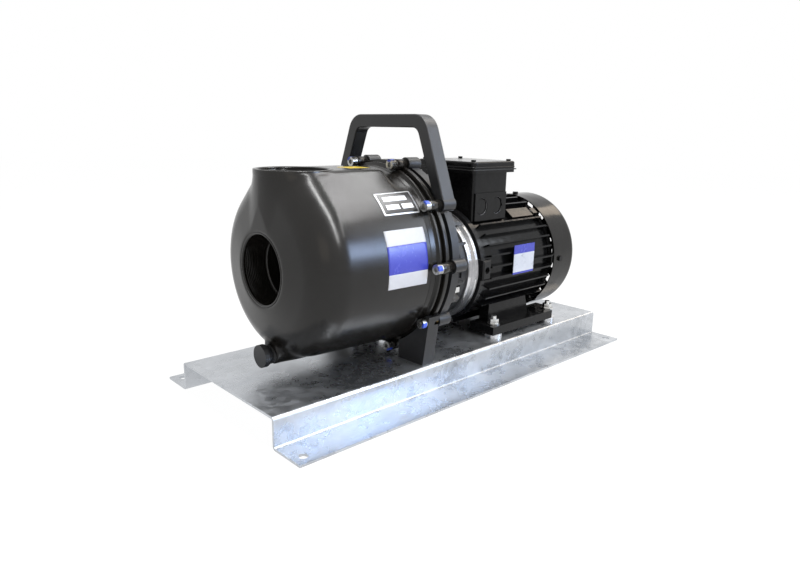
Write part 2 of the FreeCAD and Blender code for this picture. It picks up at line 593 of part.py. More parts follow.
def make_seal_and_nut():
    face = "(-joint_depth - impeller_gap)"
    nose = f"({face} - disc_gauge - vane_height)"
    shell = hexagon("x", f"{nose} - nut_length", "0", MOTOR_Z, "impeller_nut_flats", "nut_length")
    thread = cylinder("x", f"{nose} - nut_length", "0", MOTOR_Z, "impeller_thread / 2", "nut_length")
    keep(cut(shell, thread), "impeller_nut")
    seat_x = "(-joint_depth + adapter_plate)"
    keep(tube("x", seat_x, "0", MOTOR_Z, "seal_chamber / 2", "shaft_size / 2 + seat_clearance",
              "seal_seat"), "seal_seat")
    keep(tube("x", f"{face} + joint_ring", "0", MOTOR_Z, "seal_head_radius", "shaft_size / 2",
              f"{seat_x} - {face} - joint_ring - seal_gap"), "seal_rotary_head")
    keep(tube("x", face, "0", MOTOR_Z, "seal_head_radius - spring_step", "shaft_size / 2", "joint_ring"),
         "seal_spring")
    keep(tube("x", "-joint_depth", "0", PUMP_Z, "joint_ring_radius", "joint_ring_radius - joint_ring",
              "joint_ring"), "body_joint_ring")


# Adapter

def make_adapter():
    body = new_body("adapter")
    rim_front = "(-joint_depth + adapter_rim_gap)"
    rim_back = f"({rim_front} + adapter_rim)"
    plate_back = "(-joint_depth + adapter_plate)"
    ring_back = "(-joint_depth + ring_reach)"
    disc = new_sketch(body, "XZ_Plane", up=PUMP_Z)
    polygon(disc, [
        ("-joint_depth", "0"), ("-joint_depth", "barrel_rear_radius"),
        (rim_front, "barrel_rear_radius"), (rim_front, "rim_radius"), (rim_back, "rim_radius"),
        (rim_back, "adapter_ring + 2 * ring_gauge"), (plate_back, "adapter_ring + 2 * ring_gauge"),
        (plate_back, "adapter_ring + ring_gauge / 2"), (ring_back, "adapter_ring + ring_gauge / 2"),
        (ring_back, "adapter_ring - ring_gauge / 2"), (plate_back, "adapter_ring - ring_gauge / 2"),
        (plate_back, "0")])
    revolve(body, disc)
    bosses = new_sketch(body, "YZ_Plane", out="-joint_depth")
    for angle in BOLT_ANGLES:
        if angle not in HANDLE_ANGLES:
            circle(bosses, *on_circle(angle, "bolt_circle", PUMP_Z), "large_boss / 2")
    feature(body, "Pad", bosses, Length="rear_boss_length")
    nose_x = -SIZES["joint_depth"] + SIZES["rear_boss_length"]
    round_edges(body, "large_boss / 6", lambda e: is_ring(e, nose_x, SIZES["large_boss"] / 2))
    # Hub and flange that carry the motor
    hub = circle(new_sketch(body, "YZ_Plane", out=plate_back), "0", MOTOR_Z, "hub_radius")
    feature(body, "Pad", hub, Length=f"motor_face - {plate_back}")
    flange = circle(new_sketch(body, "YZ_Plane", out="motor_face"), "0", MOTOR_Z, "hub_flange_radius")
    feature(body, "Pad", flange, Length="hub_flange").Reversed = True
    web = new_sketch(body, "XY_Plane", out=f"{MOTOR_Z} - rib_gauge")
    polygon(web, [(plate_back, "-hub_radius + web_sink"), (plate_back, "-adapter_ring + web_root"),
                  ("motor_face - hub_flange", "-hub_flange_radius + web_inset"),
                  ("motor_face - hub_flange", "-hub_radius + web_sink")])
    axis = new_sketch(body, "XZ_Plane", up=MOTOR_Z)
    circle(axis, "0", "rib_gauge", "1")
    around(body, [feature(body, "Pad", web, Length="2 * rib_gauge")], axis, 4)
    hollow = new_sketch(body, "XZ_Plane", up=MOTOR_Z)
    seat_x = f"({plate_back} + seal_seat)"
    polygon(hollow, [
        ("-joint_depth - overcut", "0"), ("-joint_depth - overcut", "seal_chamber / 2"),
        (seat_x, "seal_chamber / 2"), (seat_x, "shaft_size / 2 + seal_bore_gap"),
        (f"{seat_x} + hub_wall", "shaft_size / 2 + seal_bore_gap"),
        (f"{seat_x} + hub_wall", "hub_radius - hub_wall"),
        ("motor_face - spigot_depth", "hub_radius - hub_wall"),
        ("motor_face - spigot_depth", "spigot_radius + run_gap"),
        ("motor_face + overcut", "spigot_radius + run_gap"), ("motor_face + overcut", "0")])
    revolve(body, hollow, "Groove")
    groove = new_sketch(body, "XZ_Plane", up=PUMP_Z)
    polygon(groove, [("-joint_depth - overcut", "joint_ring_radius - joint_ring"),
                     ("-joint_depth - overcut", "joint_ring_radius"),
                     ("-joint_depth + joint_ring", "joint_ring_radius"),
                     ("-joint_depth + joint_ring", "joint_ring_radius - joint_ring")])
    revolve(body, groove, "Groove")
    inserts = new_sketch(body, "YZ_Plane", out="-joint_depth")
    notches = new_sketch(body, "YZ_Plane", out="-joint_depth")
    for angle in BOLT_ANGLES:
        spot = on_circle(angle, "bolt_circle", PUMP_Z)
        if angle in HANDLE_ANGLES:
            circle(notches, *spot, "large_boss / 2 + notch_gap")
        else:
            circle(inserts, *spot, "insert_size / 2")
    feature(body, "Pocket", inserts, Length="insert_length").Reversed = True
    screws = new_sketch(body, "YZ_Plane", out="motor_face")
    for angle in LUG_ANGLES:
        circle(screws, *on_circle(angle, "flange_bolt_circle", MOTOR_Z), "bolt_hole / 2")
    feature(body, "Pocket", screws, Length="hub_flange + overcut")
    plug = new_sketch(body, "YZ_Plane", out=rim_back)
    circle(plug, *on_circle("flush_angle", FLUSH_CIRCLE, PUMP_Z), "flush_plug / 4")
    feature(body, "Pocket", plug, Length="adapter_rim - flush_collar")
    feature(body, "Pocket", notches, Length="ring_reach + rib_reach").Reversed = True
    ribs = []
    for turn in RIB_TURNS:
        rib = new_sketch(body, "XY_Plane", out=PUMP_Z, turn=turn)
        nose = [(f"{rim_back} + rib_reach - rib_nose * (1 - sin({at}))",
                 f"-rim_radius + rib_sink + rib_nose * (1 - cos({at}))") for at in NOSE_ANGLES]
        polygon(rib, [
            (plate_back, "-adapter_ring + rib_root"), (plate_back, "-rim_radius + rib_drop"),
            (rim_back, "-rim_radius + rib_sink")] + nose + [
            (f"{rim_back} + rib_reach - rib_drop", "-adapter_ring"),
            (f"{plate_back} + rib_undercut", "-adapter_ring + rib_root")])
        step = feature(body, "Pad", rib, Length="rib_gauge")
        step.Midplane = True
        ribs.append(step)
    around(body, ribs, disc, len(BOLT_ANGLES))


# Bolts and fittings of the pump

def socket_screw(x, y, z, size, head, head_height, length):
    """A socket cap screw along +X; its head stands in front of x and holds a hexagon socket."""
    shank = cylinder("x", x, y, z, f"({size}) / 2", length)
    cap = cylinder("x", f"({x}) - ({head_height})", y, z, f"({head}) / 2", head_height)
    socket = hexagon("x", f"({x}) - ({head_height})", y, z, f"({size}) * 0.75", f"({head_height}) / 2")
    return cut(fuse(shank, cap), socket)


def make_clamp_bolts():
    screws, inserts = [], []
    for angle in BOLT_ANGLES:
        y, z = on_circle(angle, "bolt_circle", PUMP_Z)
        screws.append(socket_screw("-joint_depth - boss_length", y, z, "bolt_size", "cap_head",
                                   "cap_height", "bolt_grip"))
        inserts.append(tube("x", "-joint_depth", y, z, "insert_size / 2", "bolt_size / 2",
                            "insert_length"))
    keep(group(*screws), "clamp_bolts")
    keep(group(*inserts), "clamp_inserts")


def make_flush_plug():
    y, z = on_circle("flush_angle", FLUSH_CIRCLE, PUMP_Z)
    back = "(-joint_depth + adapter_rim_gap + adapter_rim)"
    depth = "(adapter_rim - flush_collar)"
    stem = cylinder("x", f"{back} - {depth}", y, z, "flush_plug / 4", depth)
    collar = cylinder("x", back, y, z, "flush_plug / 2", "flush_collar")
    head = hexagon("x", f"{back} + flush_collar", y, z, "flush_flats", "flush_head")
    keep(fuse(stem, collar, head), "flush_plug")


def make_drain():
    z = "(base_height + drain_rise)"
    ring_x = "(-drain_front - drain_gap)"
    keep(tube("x", ring_x, "0", z, "drain_bore / 2 + drain_lip", "drain_bore / 2 - thread_gap",
              "drain_gap"), "drain_ring")
    shank = cylinder("x", ring_x, "0", z, "drain_bore / 2 - 2 * thread_gap", "drain_shank + drain_gap")
    neck = cone("x", f"{ring_x} - drain_cap_width / 2", "0", z, "drain_cap / 2",
                "drain_bore / 2 + drain_neck", "drain_cap_width / 2")
    cap = cylinder("x", f"{ring_x} - drain_cap_width", "0", z, "drain_cap / 2", "drain_cap_width / 2")
    keep(fuse(shank, neck, cap), "drain_plug")


# Handle and foot

def make_handle():
    body = new_body("handle")
    ear_y, ear_z = on_circle(HANDLE_ANGLES[1], "bolt_circle", PUMP_Z)
    top, inner = f"({PUMP_Z} + handle_rise)", "(handle_top_half - handle_inset)"
    under = f"{top} - handle_gauge"
    ear = "(large_boss / 2 - ear_tuck)"
    strap = new_sketch(body, "YZ_Plane", out="-joint_depth")
    polygon(strap, [
        (f"-({ear_y}) - {ear}", f"{ear_z} + ear_drop"), ("-handle_top_half", top),
        ("handle_top_half", top), (f"{ear_y} + {ear}", f"{ear_z} + ear_drop"),
        (f"{ear_y} - {ear}", f"{ear_z} - ear_drop"), (inner, under), (f"-{inner}", under),
        (f"-({ear_y}) + {ear}", f"{ear_z} - ear_drop")])
    feature(body, "Pad", strap, Length="handle_width")
    size = SIZES
    top_z = size["base_height"] + size["pump_rise"] + size["handle_rise"]

    def bend(level):
        return lambda e: (runs_along(e, Vector(1, 0, 0)) and near(e.CenterOfMass.z, level))
    round_edges(body, "handle_corner", bend(top_z))
    round_edges(body, "handle_inner_corner", bend(top_z - size["handle_gauge"]))
    front, back = -size["joint_depth"], -size["joint_depth"] + size["handle_width"]
    round_edges(body, "handle_edge",
                lambda e: near(e.BoundBox.XMin, e.BoundBox.XMax)
                and (near(e.BoundBox.XMin, front) or near(e.BoundBox.XMin, back))
                and e.BoundBox.ZMax > top_z - size["handle_edge_reach"])
    eyes = new_sketch(body, "YZ_Plane", out="-joint_depth")
    bores = new_sketch(body, "YZ_Plane", out="-joint_depth")
    for angle in HANDLE_ANGLES:
        spot = on_circle(angle, "bolt_circle", PUMP_Z)
        circle(eyes, *spot, "large_boss / 2")
        circle(bores, *spot, "insert_size / 2")
    saddle = circle(new_sketch(body, "YZ_Plane", out="-joint_depth"), "0", PUMP_Z,
                    "rim_radius + slip_gap")
    feature(body, "Pocket", saddle, Length="handle_width + overcut").Reversed = True
    feature(body, "Pad", eyes, Length="handle_width")
    feature(body, "Pocket", bores, Length="insert_length").Reversed = True


def make_pump_foot():
    """Moulded cradle under the joint, held by two clamp bolts and by screws through the base."""
    body = new_body("pump_foot")
    _, ear_z = on_circle(FOOT_ANGLES[1], "bolt_circle", PUMP_Z)
    front = "(-joint_depth - boss_length)"
    cradle = new_sketch(body, "YZ_Plane", out=front)
    top = f"{ear_z} + foot_top_margin"
    polygon(cradle, [("-foot_top_half", top), ("foot_top_half", top),
                     ("foot_base_half", "base_height"), ("foot_arch_half", "base_height"),
                     ("foot_arch_half", "base_height + foot_arch_rise"),
                     ("-foot_arch_half", "base_height + foot_arch_rise"),
                     ("-foot_arch_half", "base_height"), ("-foot_base_half", "base_height")])
    feature(body, "Pad", cradle, Length="foot_depth")
    rim_x = "(-joint_depth - rim_setback - foot_clearance)"
    for x, radius in ((front, "lip_radius"), (rim_x, "rim_radius")):
        seat = circle(new_sketch(body, "YZ_Plane", out=x), "0", PUMP_Z, f"{radius} + foot_clearance")
        feature(body, "Pocket", seat, Length="foot_depth + overcut").Reversed = True
    bosses = new_sketch(body, "YZ_Plane", out=rim_x)
    bolts = new_sketch(body, "YZ_Plane", out=front)
    for angle in FOOT_ANGLES:
        spot = on_circle(angle, "bolt_circle", PUMP_Z)
        circle(bosses, *spot, "small_boss / 2 + foot_clearance")
        circle(bolts, *spot, "bolt_hole / 2 + 2 * foot_clearance")
    feature(body, "Pocket", bosses, Length="foot_depth + overcut").Reversed = True
    feature(body, "Pocket", bolts, Length="foot_depth + overcut").Reversed = True
    holes = new_sketch(body, "XY_Plane", out="base_height")
    for x, y in FOOT_SCREWS:
        circle(holes, x, y, "bolt_size / 2")
    feature(body, "Pocket", holes, Length="foot_screw_length").Reversed = True
    screws = []
    for x, y in FOOT_SCREWS:
        under = "base_height - sheet_gauge"
        screws.append(fuse(hexagon("z", x, y, f"{under} - nut_height", "nut_flats", "nut_height"),
                           cylinder("z", x, y, under, "bolt_size / 2", "sheet_gauge + foot_screw_length")))
    keep(group(*screws), "pump_foot_screws")


def standing_bolts(label, spots, top_z):
    """Hexagon bolts up through the base, each with a washer and nut on top of what it holds."""
    bolts, nuts = [], []
    for x, y in spots:
        head = hexagon("z", x, y, "base_height - sheet_gauge - nut_height", "nut_flats", "nut_height")
        shank = cylinder("z", x, y, "base_height - sheet_gauge", "bolt_size / 2",
                         f"{top_z} + washer_gauge + nut_height + bolt_stand - base_height + sheet_gauge")
        bolts.append(fuse(head, shank))
        washer = tube("z", x, y, top_z, "washer_size / 2", "bolt_size / 2", "washer_gauge")
        nut = cut(hexagon("z", x, y, f"{top_z} + washer_gauge", "nut_flats", "nut_height"),
                  cylinder("z", x, y, f"{top_z} + washer_gauge", "bolt_size / 2", "nut_height"))
        nuts += [washer, nut]
    keep(group(*bolts), f"{label}_bolts")
    keep(group(*nuts), f"{label}_nuts")


def make_foot_bolts():
    corners = [(f"motor_face + foot_start + {end} * foot_pitch", f"{side} * foot_spread / 2")
               for end in (0, 1) for side in (-1, 1)]
    standing_bolts("motor_foot", corners, "(base_height + spacer_height + pad_gauge)")
    spacers = [tube("z", x, y, "base_height", "washer_size / 2 + spacer_lip", "bolt_hole / 2",
                    "spacer_height") for x, y in corners]
    keep(group(*spacers), "motor_spacers")


# Motor castings and sheet

def turned(label, axis_z, corners):
    """A solid of revolution about an X axis from a closed half section of (x, radius)."""
    body = new_body(label)
    sketch = polygon(new_sketch(body, "XZ_Plane", up=axis_z), corners)
    revolve(body, sketch)
    return body, sketch


def make_drive_shield():
    seat, lip = "(bearing_outer / 2)", "(shaft_size / 2 + seal_lip)"
    flange = "(motor_flange / 2 - flange_trim)"
    end = "(shield_end + frame_lap)"
    body, _ = turned("drive_end_shield", MOTOR_Z, [
        ("motor_face - spigot_depth", lip), ("motor_face - spigot_depth", "spigot_radius"),
        ("motor_face", "spigot_radius"), ("motor_face", flange),
        ("motor_face + machined_width", flange), ("motor_face + machined_width", "step_radius"),
        ("shield_end - shield_band", "step_radius"), ("shield_end - shield_band", "shield_radius"),
        ("shield_end", "shield_radius"), ("shield_end", "frame_radius - frame_wall"),
        (end, "frame_radius - frame_wall"), (end, "frame_radius - frame_wall - lap_wall"),
        ("motor_face + shield_web", "step_radius - shield_cone"),
        ("motor_face + shield_web", f"{seat} + shield_wall"),
        ("drive_bearing + bearing_width", f"{seat} + shield_wall"),
        ("drive_bearing + bearing_width", seat), ("drive_bearing", seat), ("drive_bearing", lip)])
    taps = new_sketch(body, "YZ_Plane", out="motor_face")
    for angle in LUG_ANGLES:
        circle(taps, *on_circle(angle, "flange_bolt_circle", MOTOR_Z), "bolt_size / 2")
    feature(body, "Pocket", taps, Length="machined_width").Reversed = True
    # Earth lug with a sunk screw on the side
    start, low = "(motor_face + machined_width)", f"({MOTOR_Z} - earth_lug / 3)"
    outer = "(step_radius + earth_reach)"
    lug = new_sketch(body, "YZ_Plane", out=start)
    polygon(lug, [("-step_radius + earth_root", low), (f"-{outer}", low),
                  (f"-{outer}", f"{low} + earth_lug"), ("-step_radius + earth_root", f"{low} + earth_lug")])
    feature(body, "Pad", lug, Length="shield_end - motor_face - machined_width")
    y = -SIZES["step_radius"] - SIZES["earth_reach"]
    round_edges(body, "earth_bevel", lambda e: near(e.BoundBox.YMin, y) and near(e.BoundBox.YMax, y),
                "Chamfer")
    middle = "(motor_face + shield_end + machined_width) / 2"
    sink = new_sketch(body, "XZ_Plane", out=outer)
    circle(sink, middle, f"{low} + earth_lug / 2", "earth_screw / 2 + slip_gap")
    feature(body, "Pocket", sink, Length="earth_screw")
    head = cylinder("y", middle, f"-{outer} + earth_screw / 3", f"{low} + earth_lug / 2",
                    "earth_screw / 2", "earth_screw * 2 / 3")
    socket = hexagon("y", middle, f"-{outer} + earth_screw / 3", f"{low} + earth_lug / 2",
                     "earth_screw / 2", "earth_screw / 3")
    keep(cut(head, socket), "earth_screw_head")


def make_rear_shield():
    seat, wall = "(bearing_outer / 2)", "(frame_radius - frame_wall)"
    bearing_end = "(rear_bearing + bearing_width)"
    body, _ = turned("rear_end_shield", MOTOR_Z, [
        ("frame_end - frame_lap", f"{wall} - lap_wall"), ("frame_end - frame_lap", wall),
        ("frame_end", wall),
        ("frame_end", "shield_radius"), ("frame_end + rear_shield_depth", "shield_radius"),
        ("frame_end + rear_shield_depth", "shield_radius - rear_shield_slope"),
        (f"{bearing_end} + bearing_cap", f"{seat} + shield_wall"),
        (f"{bearing_end} + bearing_cap", "shaft_size / 2"),
        (bearing_end, "shaft_size / 2"), (bearing_end, seat), ("rear_bearing", seat),
        ("rear_bearing", f"{seat} + shield_wall"), ("frame_end", f"{seat} + shield_wall + bearing_draft")])
    ears = new_sketch(body, "YZ_Plane", out="frame_end")
    reach = "(cowl_radius - cowl_gauge)"
    low, high = f"{MOTOR_Z} + shield_radius - cowl_ear_root", f"{MOTOR_Z} + {reach} - cowl_ear_gap"
    polygon(ears, [("-lug_width", low), ("lug_width", low), ("lug_width", high), ("-lug_width", high)])
    axis = circle(new_sketch(body, "XZ_Plane", up=MOTOR_Z), "0", "lug_width", "1")
    around(body, [feature(body, "Pad", ears, Length="cowl_screw_reach")], axis, 4)
    screw_holes(body, axis)


def screw_holes(body, axis):
    """Four holes for the cowl screws, square to the motor axis."""
    hole = circle(new_sketch(body, "XZ_Plane"), "frame_end + cowl_screw_reach - cowl_screw_inset",
                  MOTOR_Z, "cowl_screw / 2")
    around(body, [cut_through(body, hole, both_ways=False)], axis, 4)


def radial_quad(sketch, angle, half_gauge, inner, outer):
    """A flat radial bar about the motor axis; the angle runs from the top towards -Y."""
    corners = [(f"{side} * cos({angle}) * ({half_gauge}) - sin({angle}) * ({reach})",
                f"{MOTOR_Z} + {side} * sin({angle}) * ({half_gauge}) + cos({angle}) * ({reach})")
               for reach, side in ((inner, -1), (outer, -1), (outer, 1), (inner, 1))]
    polygon(sketch, corners)


SIDE_FINS = [46, 56, 66, 76, 86, 96, 106, 116, 125]
BOTTOM_FINS = [165, 180, 195]
TOP_FINS = [-24, -12, 0, 12, 24]
TIE_ANGLES = [37, 135, 225, 323]


def make_frame():
    body, _ = turned("motor_frame", MOTOR_Z, [
        ("shield_end", "frame_radius - frame_wall"), ("shield_end", "frame_radius"),
        ("frame_end", "frame_radius"), ("frame_end", "frame_radius - frame_wall")])
    root = "frame_radius - fin_root"
    lug_front = "(frame_end - tie_lug - tie_bolt)"
    full, past_box = "(shield_end + fin_start)", "(box_start + box_length + fin_start)"
    right = [-angle for angle in SIDE_FINS]
    for angles, start in ((SIDE_FINS[:5], full), (SIDE_FINS[5:], full), (right[:5], full),
                          (right[5:], full), (BOTTOM_FINS, full), (TOP_FINS, past_box)):
        fins = new_sketch(body, "YZ_Plane", out=start)
        for angle in angles:
            radial_quad(fins, angle, "fin_gauge / 2", root, "fin_radius")
        feature(body, "Pad", fins, Length=f"frame_end - {start}")
    # Flat lands along the upper tie bolts, and a lug for each tie bolt
    lands = new_sketch(body, "YZ_Plane", out=past_box)
    for angle in (TIE_ANGLES[0], TIE_ANGLES[-1]):
        radial_quad(lands, angle, "land_width / 2", root, "fin_radius - land_drop")
    feature(body, "Pad", lands, Length=f"{lug_front} - {past_box}")
    ends = new_sketch(body, "YZ_Plane", out="frame_end")
    for angle in TIE_ANGLES:
        radial_quad(ends, angle, "tie_lug / 2", root, "fin_radius - lug_drop")
    feature(body, "Pad", ends, Length="tie_lug").Reversed = True


def make_tie_bolts():
    bolts = []
    for angle in TIE_ANGLES:
        y, z = on_circle(angle, "2 * (frame_radius + tie_bolt + tie_gap)", MOTOR_Z)
        bolts.append(hexagon("x", "frame_end - tie_lug - tie_bolt", y, z, "tie_flats", "tie_bolt"))
    keep(group(*bolts), "tie_bolts")


def make_feet():
    for side, label in ((-1, "motor_foot_right"), (1, "motor_foot_left")):
        body = new_body(label)
        floor = "(base_height + spacer_height)"
        pad = new_sketch(body, "XY_Plane", out=floor)
        start, outer = "(motor_face + foot_start)", "(foot_spread / 2 + pad_margin)"
        polygon(pad, [(f"{start} - pad_front", f"{side} * {outer}"),
                      (f"{start} + foot_pitch - pad_rear", f"{side} * {outer}"),
                      (f"{start} + foot_pitch + pad_tail", f"{side} * ({outer} - pad_taper)"),
                      (f"{start} + foot_pitch + pad_tail", f"{side} * ({outer} - pad_width)"),
                      (f"{start} - pad_front", f"{side} * ({outer} - pad_width)")])
        feature(body, "Pad", pad, Length="pad_gauge")
        web_out = "(foot_spread / 2 - washer_size / 2 - washer_room)"
        web_top = f"{MOTOR_Z} - foot_web_drop"
        web = new_sketch(body, "XZ_Plane", out=f"{-side} * {web_out}")
        polygon(web, [(start, floor), (f"{start} + foot_pitch - foot_web_rear", floor),
                      (f"{start} + foot_pitch - foot_web_top", web_top),
                      (f"{start} + foot_web_draft", web_top)])
        step = feature(body, "Pad", web, Length="foot_web_width")
        step.Reversed = side < 0
        holes = new_sketch(body, "XY_Plane", out=f"{floor} + pad_gauge")
        for end in (0, 1):
            circle(holes, f"{start} + {end} * foot_pitch", f"{side} * foot_spread / 2", "bolt_hole / 2")
        feature(body, "Pocket", holes, Length="pad_gauge + overcut")
        saddle = circle(new_sketch(body, "YZ_Plane", out="shield_end"), "0", MOTOR_Z, "frame_radius")
        feature(body, "Pocket", saddle, Length="frame_end").Reversed = True


GRILLE_RINGS = ["grille_start", "grille_start + grille_slot + grille_gap"]
GRILLE_SLOTS = 16
FAN_BLADES = 9


def make_cowl():
    inner = "(cowl_radius - cowl_gauge)"
    body, _ = turned("fan_cowl", MOTOR_Z, [
        ("cowl_start", inner), ("cowl_start", "cowl_radius"), ("cowl_end", "cowl_radius"),
        ("cowl_end", "0"), ("cowl_end - cowl_gauge", "0"), ("cowl_end - cowl_gauge", inner)])
    size = SIZES
    outside, inside = size["cowl_radius"], size["cowl_radius"] - size["cowl_gauge"]
    round_edges(body, "cowl_corner", lambda e: is_ring(e, size["cowl_end"], outside))
    round_edges(body, "cowl_corner - cowl_gauge",
                lambda e: is_ring(e, size["cowl_end"] - size["cowl_gauge"], inside))
    axis = circle(new_sketch(body, "XZ_Plane", up=MOTOR_Z), "0", "cowl_gauge", "1")
    grille = new_sketch(body, "YZ_Plane", out="cowl_end")
    for ring in GRILLE_RINGS:
        radial_quad(grille, 0, f"({ring}) * grille_taper", f"({ring})", f"({ring}) + grille_slot")
    around(body, [feature(body, "Pocket", grille, Length="2 * cowl_gauge")], axis, GRILLE_SLOTS)
    screw_holes(body, axis)


def make_cowl_screws():
    screws = []
    x = "frame_end + cowl_screw_reach - cowl_screw_inset"
    for axis in ("y", "z"):
        for side in (-1, 1):
            outer = f"{side} * cowl_radius - (1 - {side}) / 2 * cowl_screw_cap"
            inner = f"{side} * cowl_radius - (1 + {side}) / 2 * 2 * cowl_screw"
            parts = []
            for reach, radius, length in ((outer, "cowl_screw_head / 2", "cowl_screw_cap"),
                                          (inner, "cowl_screw / 2", "2 * cowl_screw")):
                y, z = (reach, MOTOR_Z) if axis == "y" else ("0", f"{MOTOR_Z} + {reach}")
                parts.append(cylinder(axis, x, y, z, radius, length))
            screws.append(fuse(*parts))
    keep(group(*screws), "cowl_screws")


# Rotor and electrical parts

def make_rotor():
    nose = "(-joint_depth - impeller_gap - disc_gauge - vane_height)"
    seat, bearing = "impeller_seat / 2", "bearing_bore / 2"
    shoulder = "drive_bearing - shaft_shoulder"
    tip = f"{nose} - nut_length - thread_end"
    turned("shaft", MOTOR_Z, [
        (tip, "0"), (tip, "impeller_thread / 2"),
        (nose, "impeller_thread / 2"), (nose, seat), ("-joint_depth - impeller_gap", seat),
        ("-joint_depth - impeller_gap", "shaft_size / 2"), (shoulder, "shaft_size / 2"),
        (shoulder, bearing), ("drive_bearing + bearing_width", bearing),
        ("drive_bearing + bearing_width", "shaft_core"), ("rear_bearing", "shaft_core"),
        ("rear_bearing", bearing), ("rear_bearing + bearing_width", bearing),
        ("rear_bearing + bearing_width", "fan_seat / 2"), ("shaft_end", "fan_seat / 2"),
        ("shaft_end", "0")])
    keep(tube("x", "core_start", "0", MOTOR_Z, ROTOR_RADIUS, "shaft_core", "core_length"),
         "rotor_core")
    for label, x in (("drive_bearing", "drive_bearing"), ("rear_bearing", "rear_bearing")):
        keep(tube("x", x, "0", MOTOR_Z, "race_radius", "bearing_bore / 2", "bearing_width"),
             f"{label}_inner")
        keep(tube("x", x, "0", MOTOR_Z, "bearing_outer / 2", "race_radius + run_gap", "bearing_width"),
             f"{label}_outer")


def make_stator():
    wall, bore = "(frame_radius - frame_wall)", f"({ROTOR_RADIUS} + air_gap)"
    keep(tube("x", "core_start", "0", MOTOR_Z, wall, bore, "core_length"), "stator_core")
    ends = [tube("x", x, "0", MOTOR_Z, f"{wall} - winding_step", f"{bore} + winding_inset",
                 "winding_reach")
            for x in ("core_start - winding_reach", "core_start + core_length")]
    keep(group(*ends), "windings")


def make_fan():
    hub, end = "fan_seat / 2 + fan_hub", "fan_start + fan_depth"
    body, axis = turned("cooling_fan", MOTOR_Z, [
        ("fan_start", "fan_seat / 2"), ("fan_start", hub),
        ("fan_start + fan_dish", "fan_radius - fan_disc_inset"),
        ("fan_start + fan_dish + fan_disc", "fan_radius - fan_disc_inset"),
        ("fan_start + fan_dish + fan_disc", hub), (end, "fan_seat / 2 + fan_hub_rear"),
        (end, "fan_seat / 2")])
    blade = new_sketch(body, "XY_Plane", out=f"{MOTOR_Z} - blade_gauge / 2")
    root = "-fan_seat / 2 - fan_hub_rear + overcut"
    polygon(blade, [("fan_start + blade_front", root), ("fan_start", "-fan_radius"),
                    (end, "-fan_radius"), (f"{end} - blade_rear", root)])
    around(body, [feature(body, "Pad", blade, Length="blade_gauge")], axis, FAN_BLADES)


# Terminal box

def make_terminal_box():
    body = new_body("terminal_box")
    top = f"({MOTOR_Z} + box_top)"
    end = "(box_start + box_length)"
    floor = f"({MOTOR_Z} + gland_rise - gland_hole / 2 - gland_floor)"
    shell = new_sketch(body, "XY_Plane", out=floor)
    polygon(shell, [("box_start", "-box_half"), (end, "-box_half"), (end, "box_half"),
                    ("box_start", "box_half")])
    feature(body, "Pad", shell, Length=f"{top} - {floor}")
    round_edges(body, "box_corner", lambda e: runs_along(e, Vector(0, 0, 1)))
    rim = new_sketch(body, "XY_Plane", out=top)
    polygon(rim, [("lid_start", "-lid_half"), ("lid_start + lid_length", "-lid_half"),
                  ("lid_start + lid_length", "lid_half"), ("lid_start", "lid_half")])
    feature(body, "Pad", rim, Length="box_wall").Reversed = True
    round_edges(body, "lid_corner", lambda e: runs_along(e, Vector(0, 0, 1))
                and near(abs(e.CenterOfMass.y), SIZES["lid_half"]))
    panel = new_sketch(body, "XZ_Plane", out="box_half - panel_sink")
    left, right = "box_start + panel_start", f"{end} - panel_end"
    level = f"{floor} + gland_hole + panel_rise"
    polygon(panel, [(left, floor), (right, floor), (right, level), (left, level)])
    feature(body, "Pad", panel, Length="panel_gauge + panel_sink")
    holes = new_sketch(body, "XZ_Plane", out="box_half + panel_gauge")
    for x in (0, 1):
        circle(holes, f"box_start + gland_start + {x} * gland_pitch", f"{MOTOR_Z} + gland_rise",
               "gland_hole / 2")
    feature(body, "Pocket", holes, Length="gland_sink")
    room = new_sketch(body, "XY_Plane", out=top)
    polygon(room, [("box_start + box_wall", "-box_half + box_wall"),
                   (f"{end} - box_wall", "-box_half + box_wall"),
                   (f"{end} - box_wall", "box_half - box_wall"),
                   ("box_start + box_wall", "box_half - box_wall")])
    feature(body, "Pocket", room, Length="box_top - frame_radius - board_rise")
    saddle = circle(new_sketch(body, "YZ_Plane", out="box_start - overcut"), "0", MOTOR_Z, "frame_radius")
    feature(body, "Pocket", saddle, Length="2 * box_length").Reversed = True


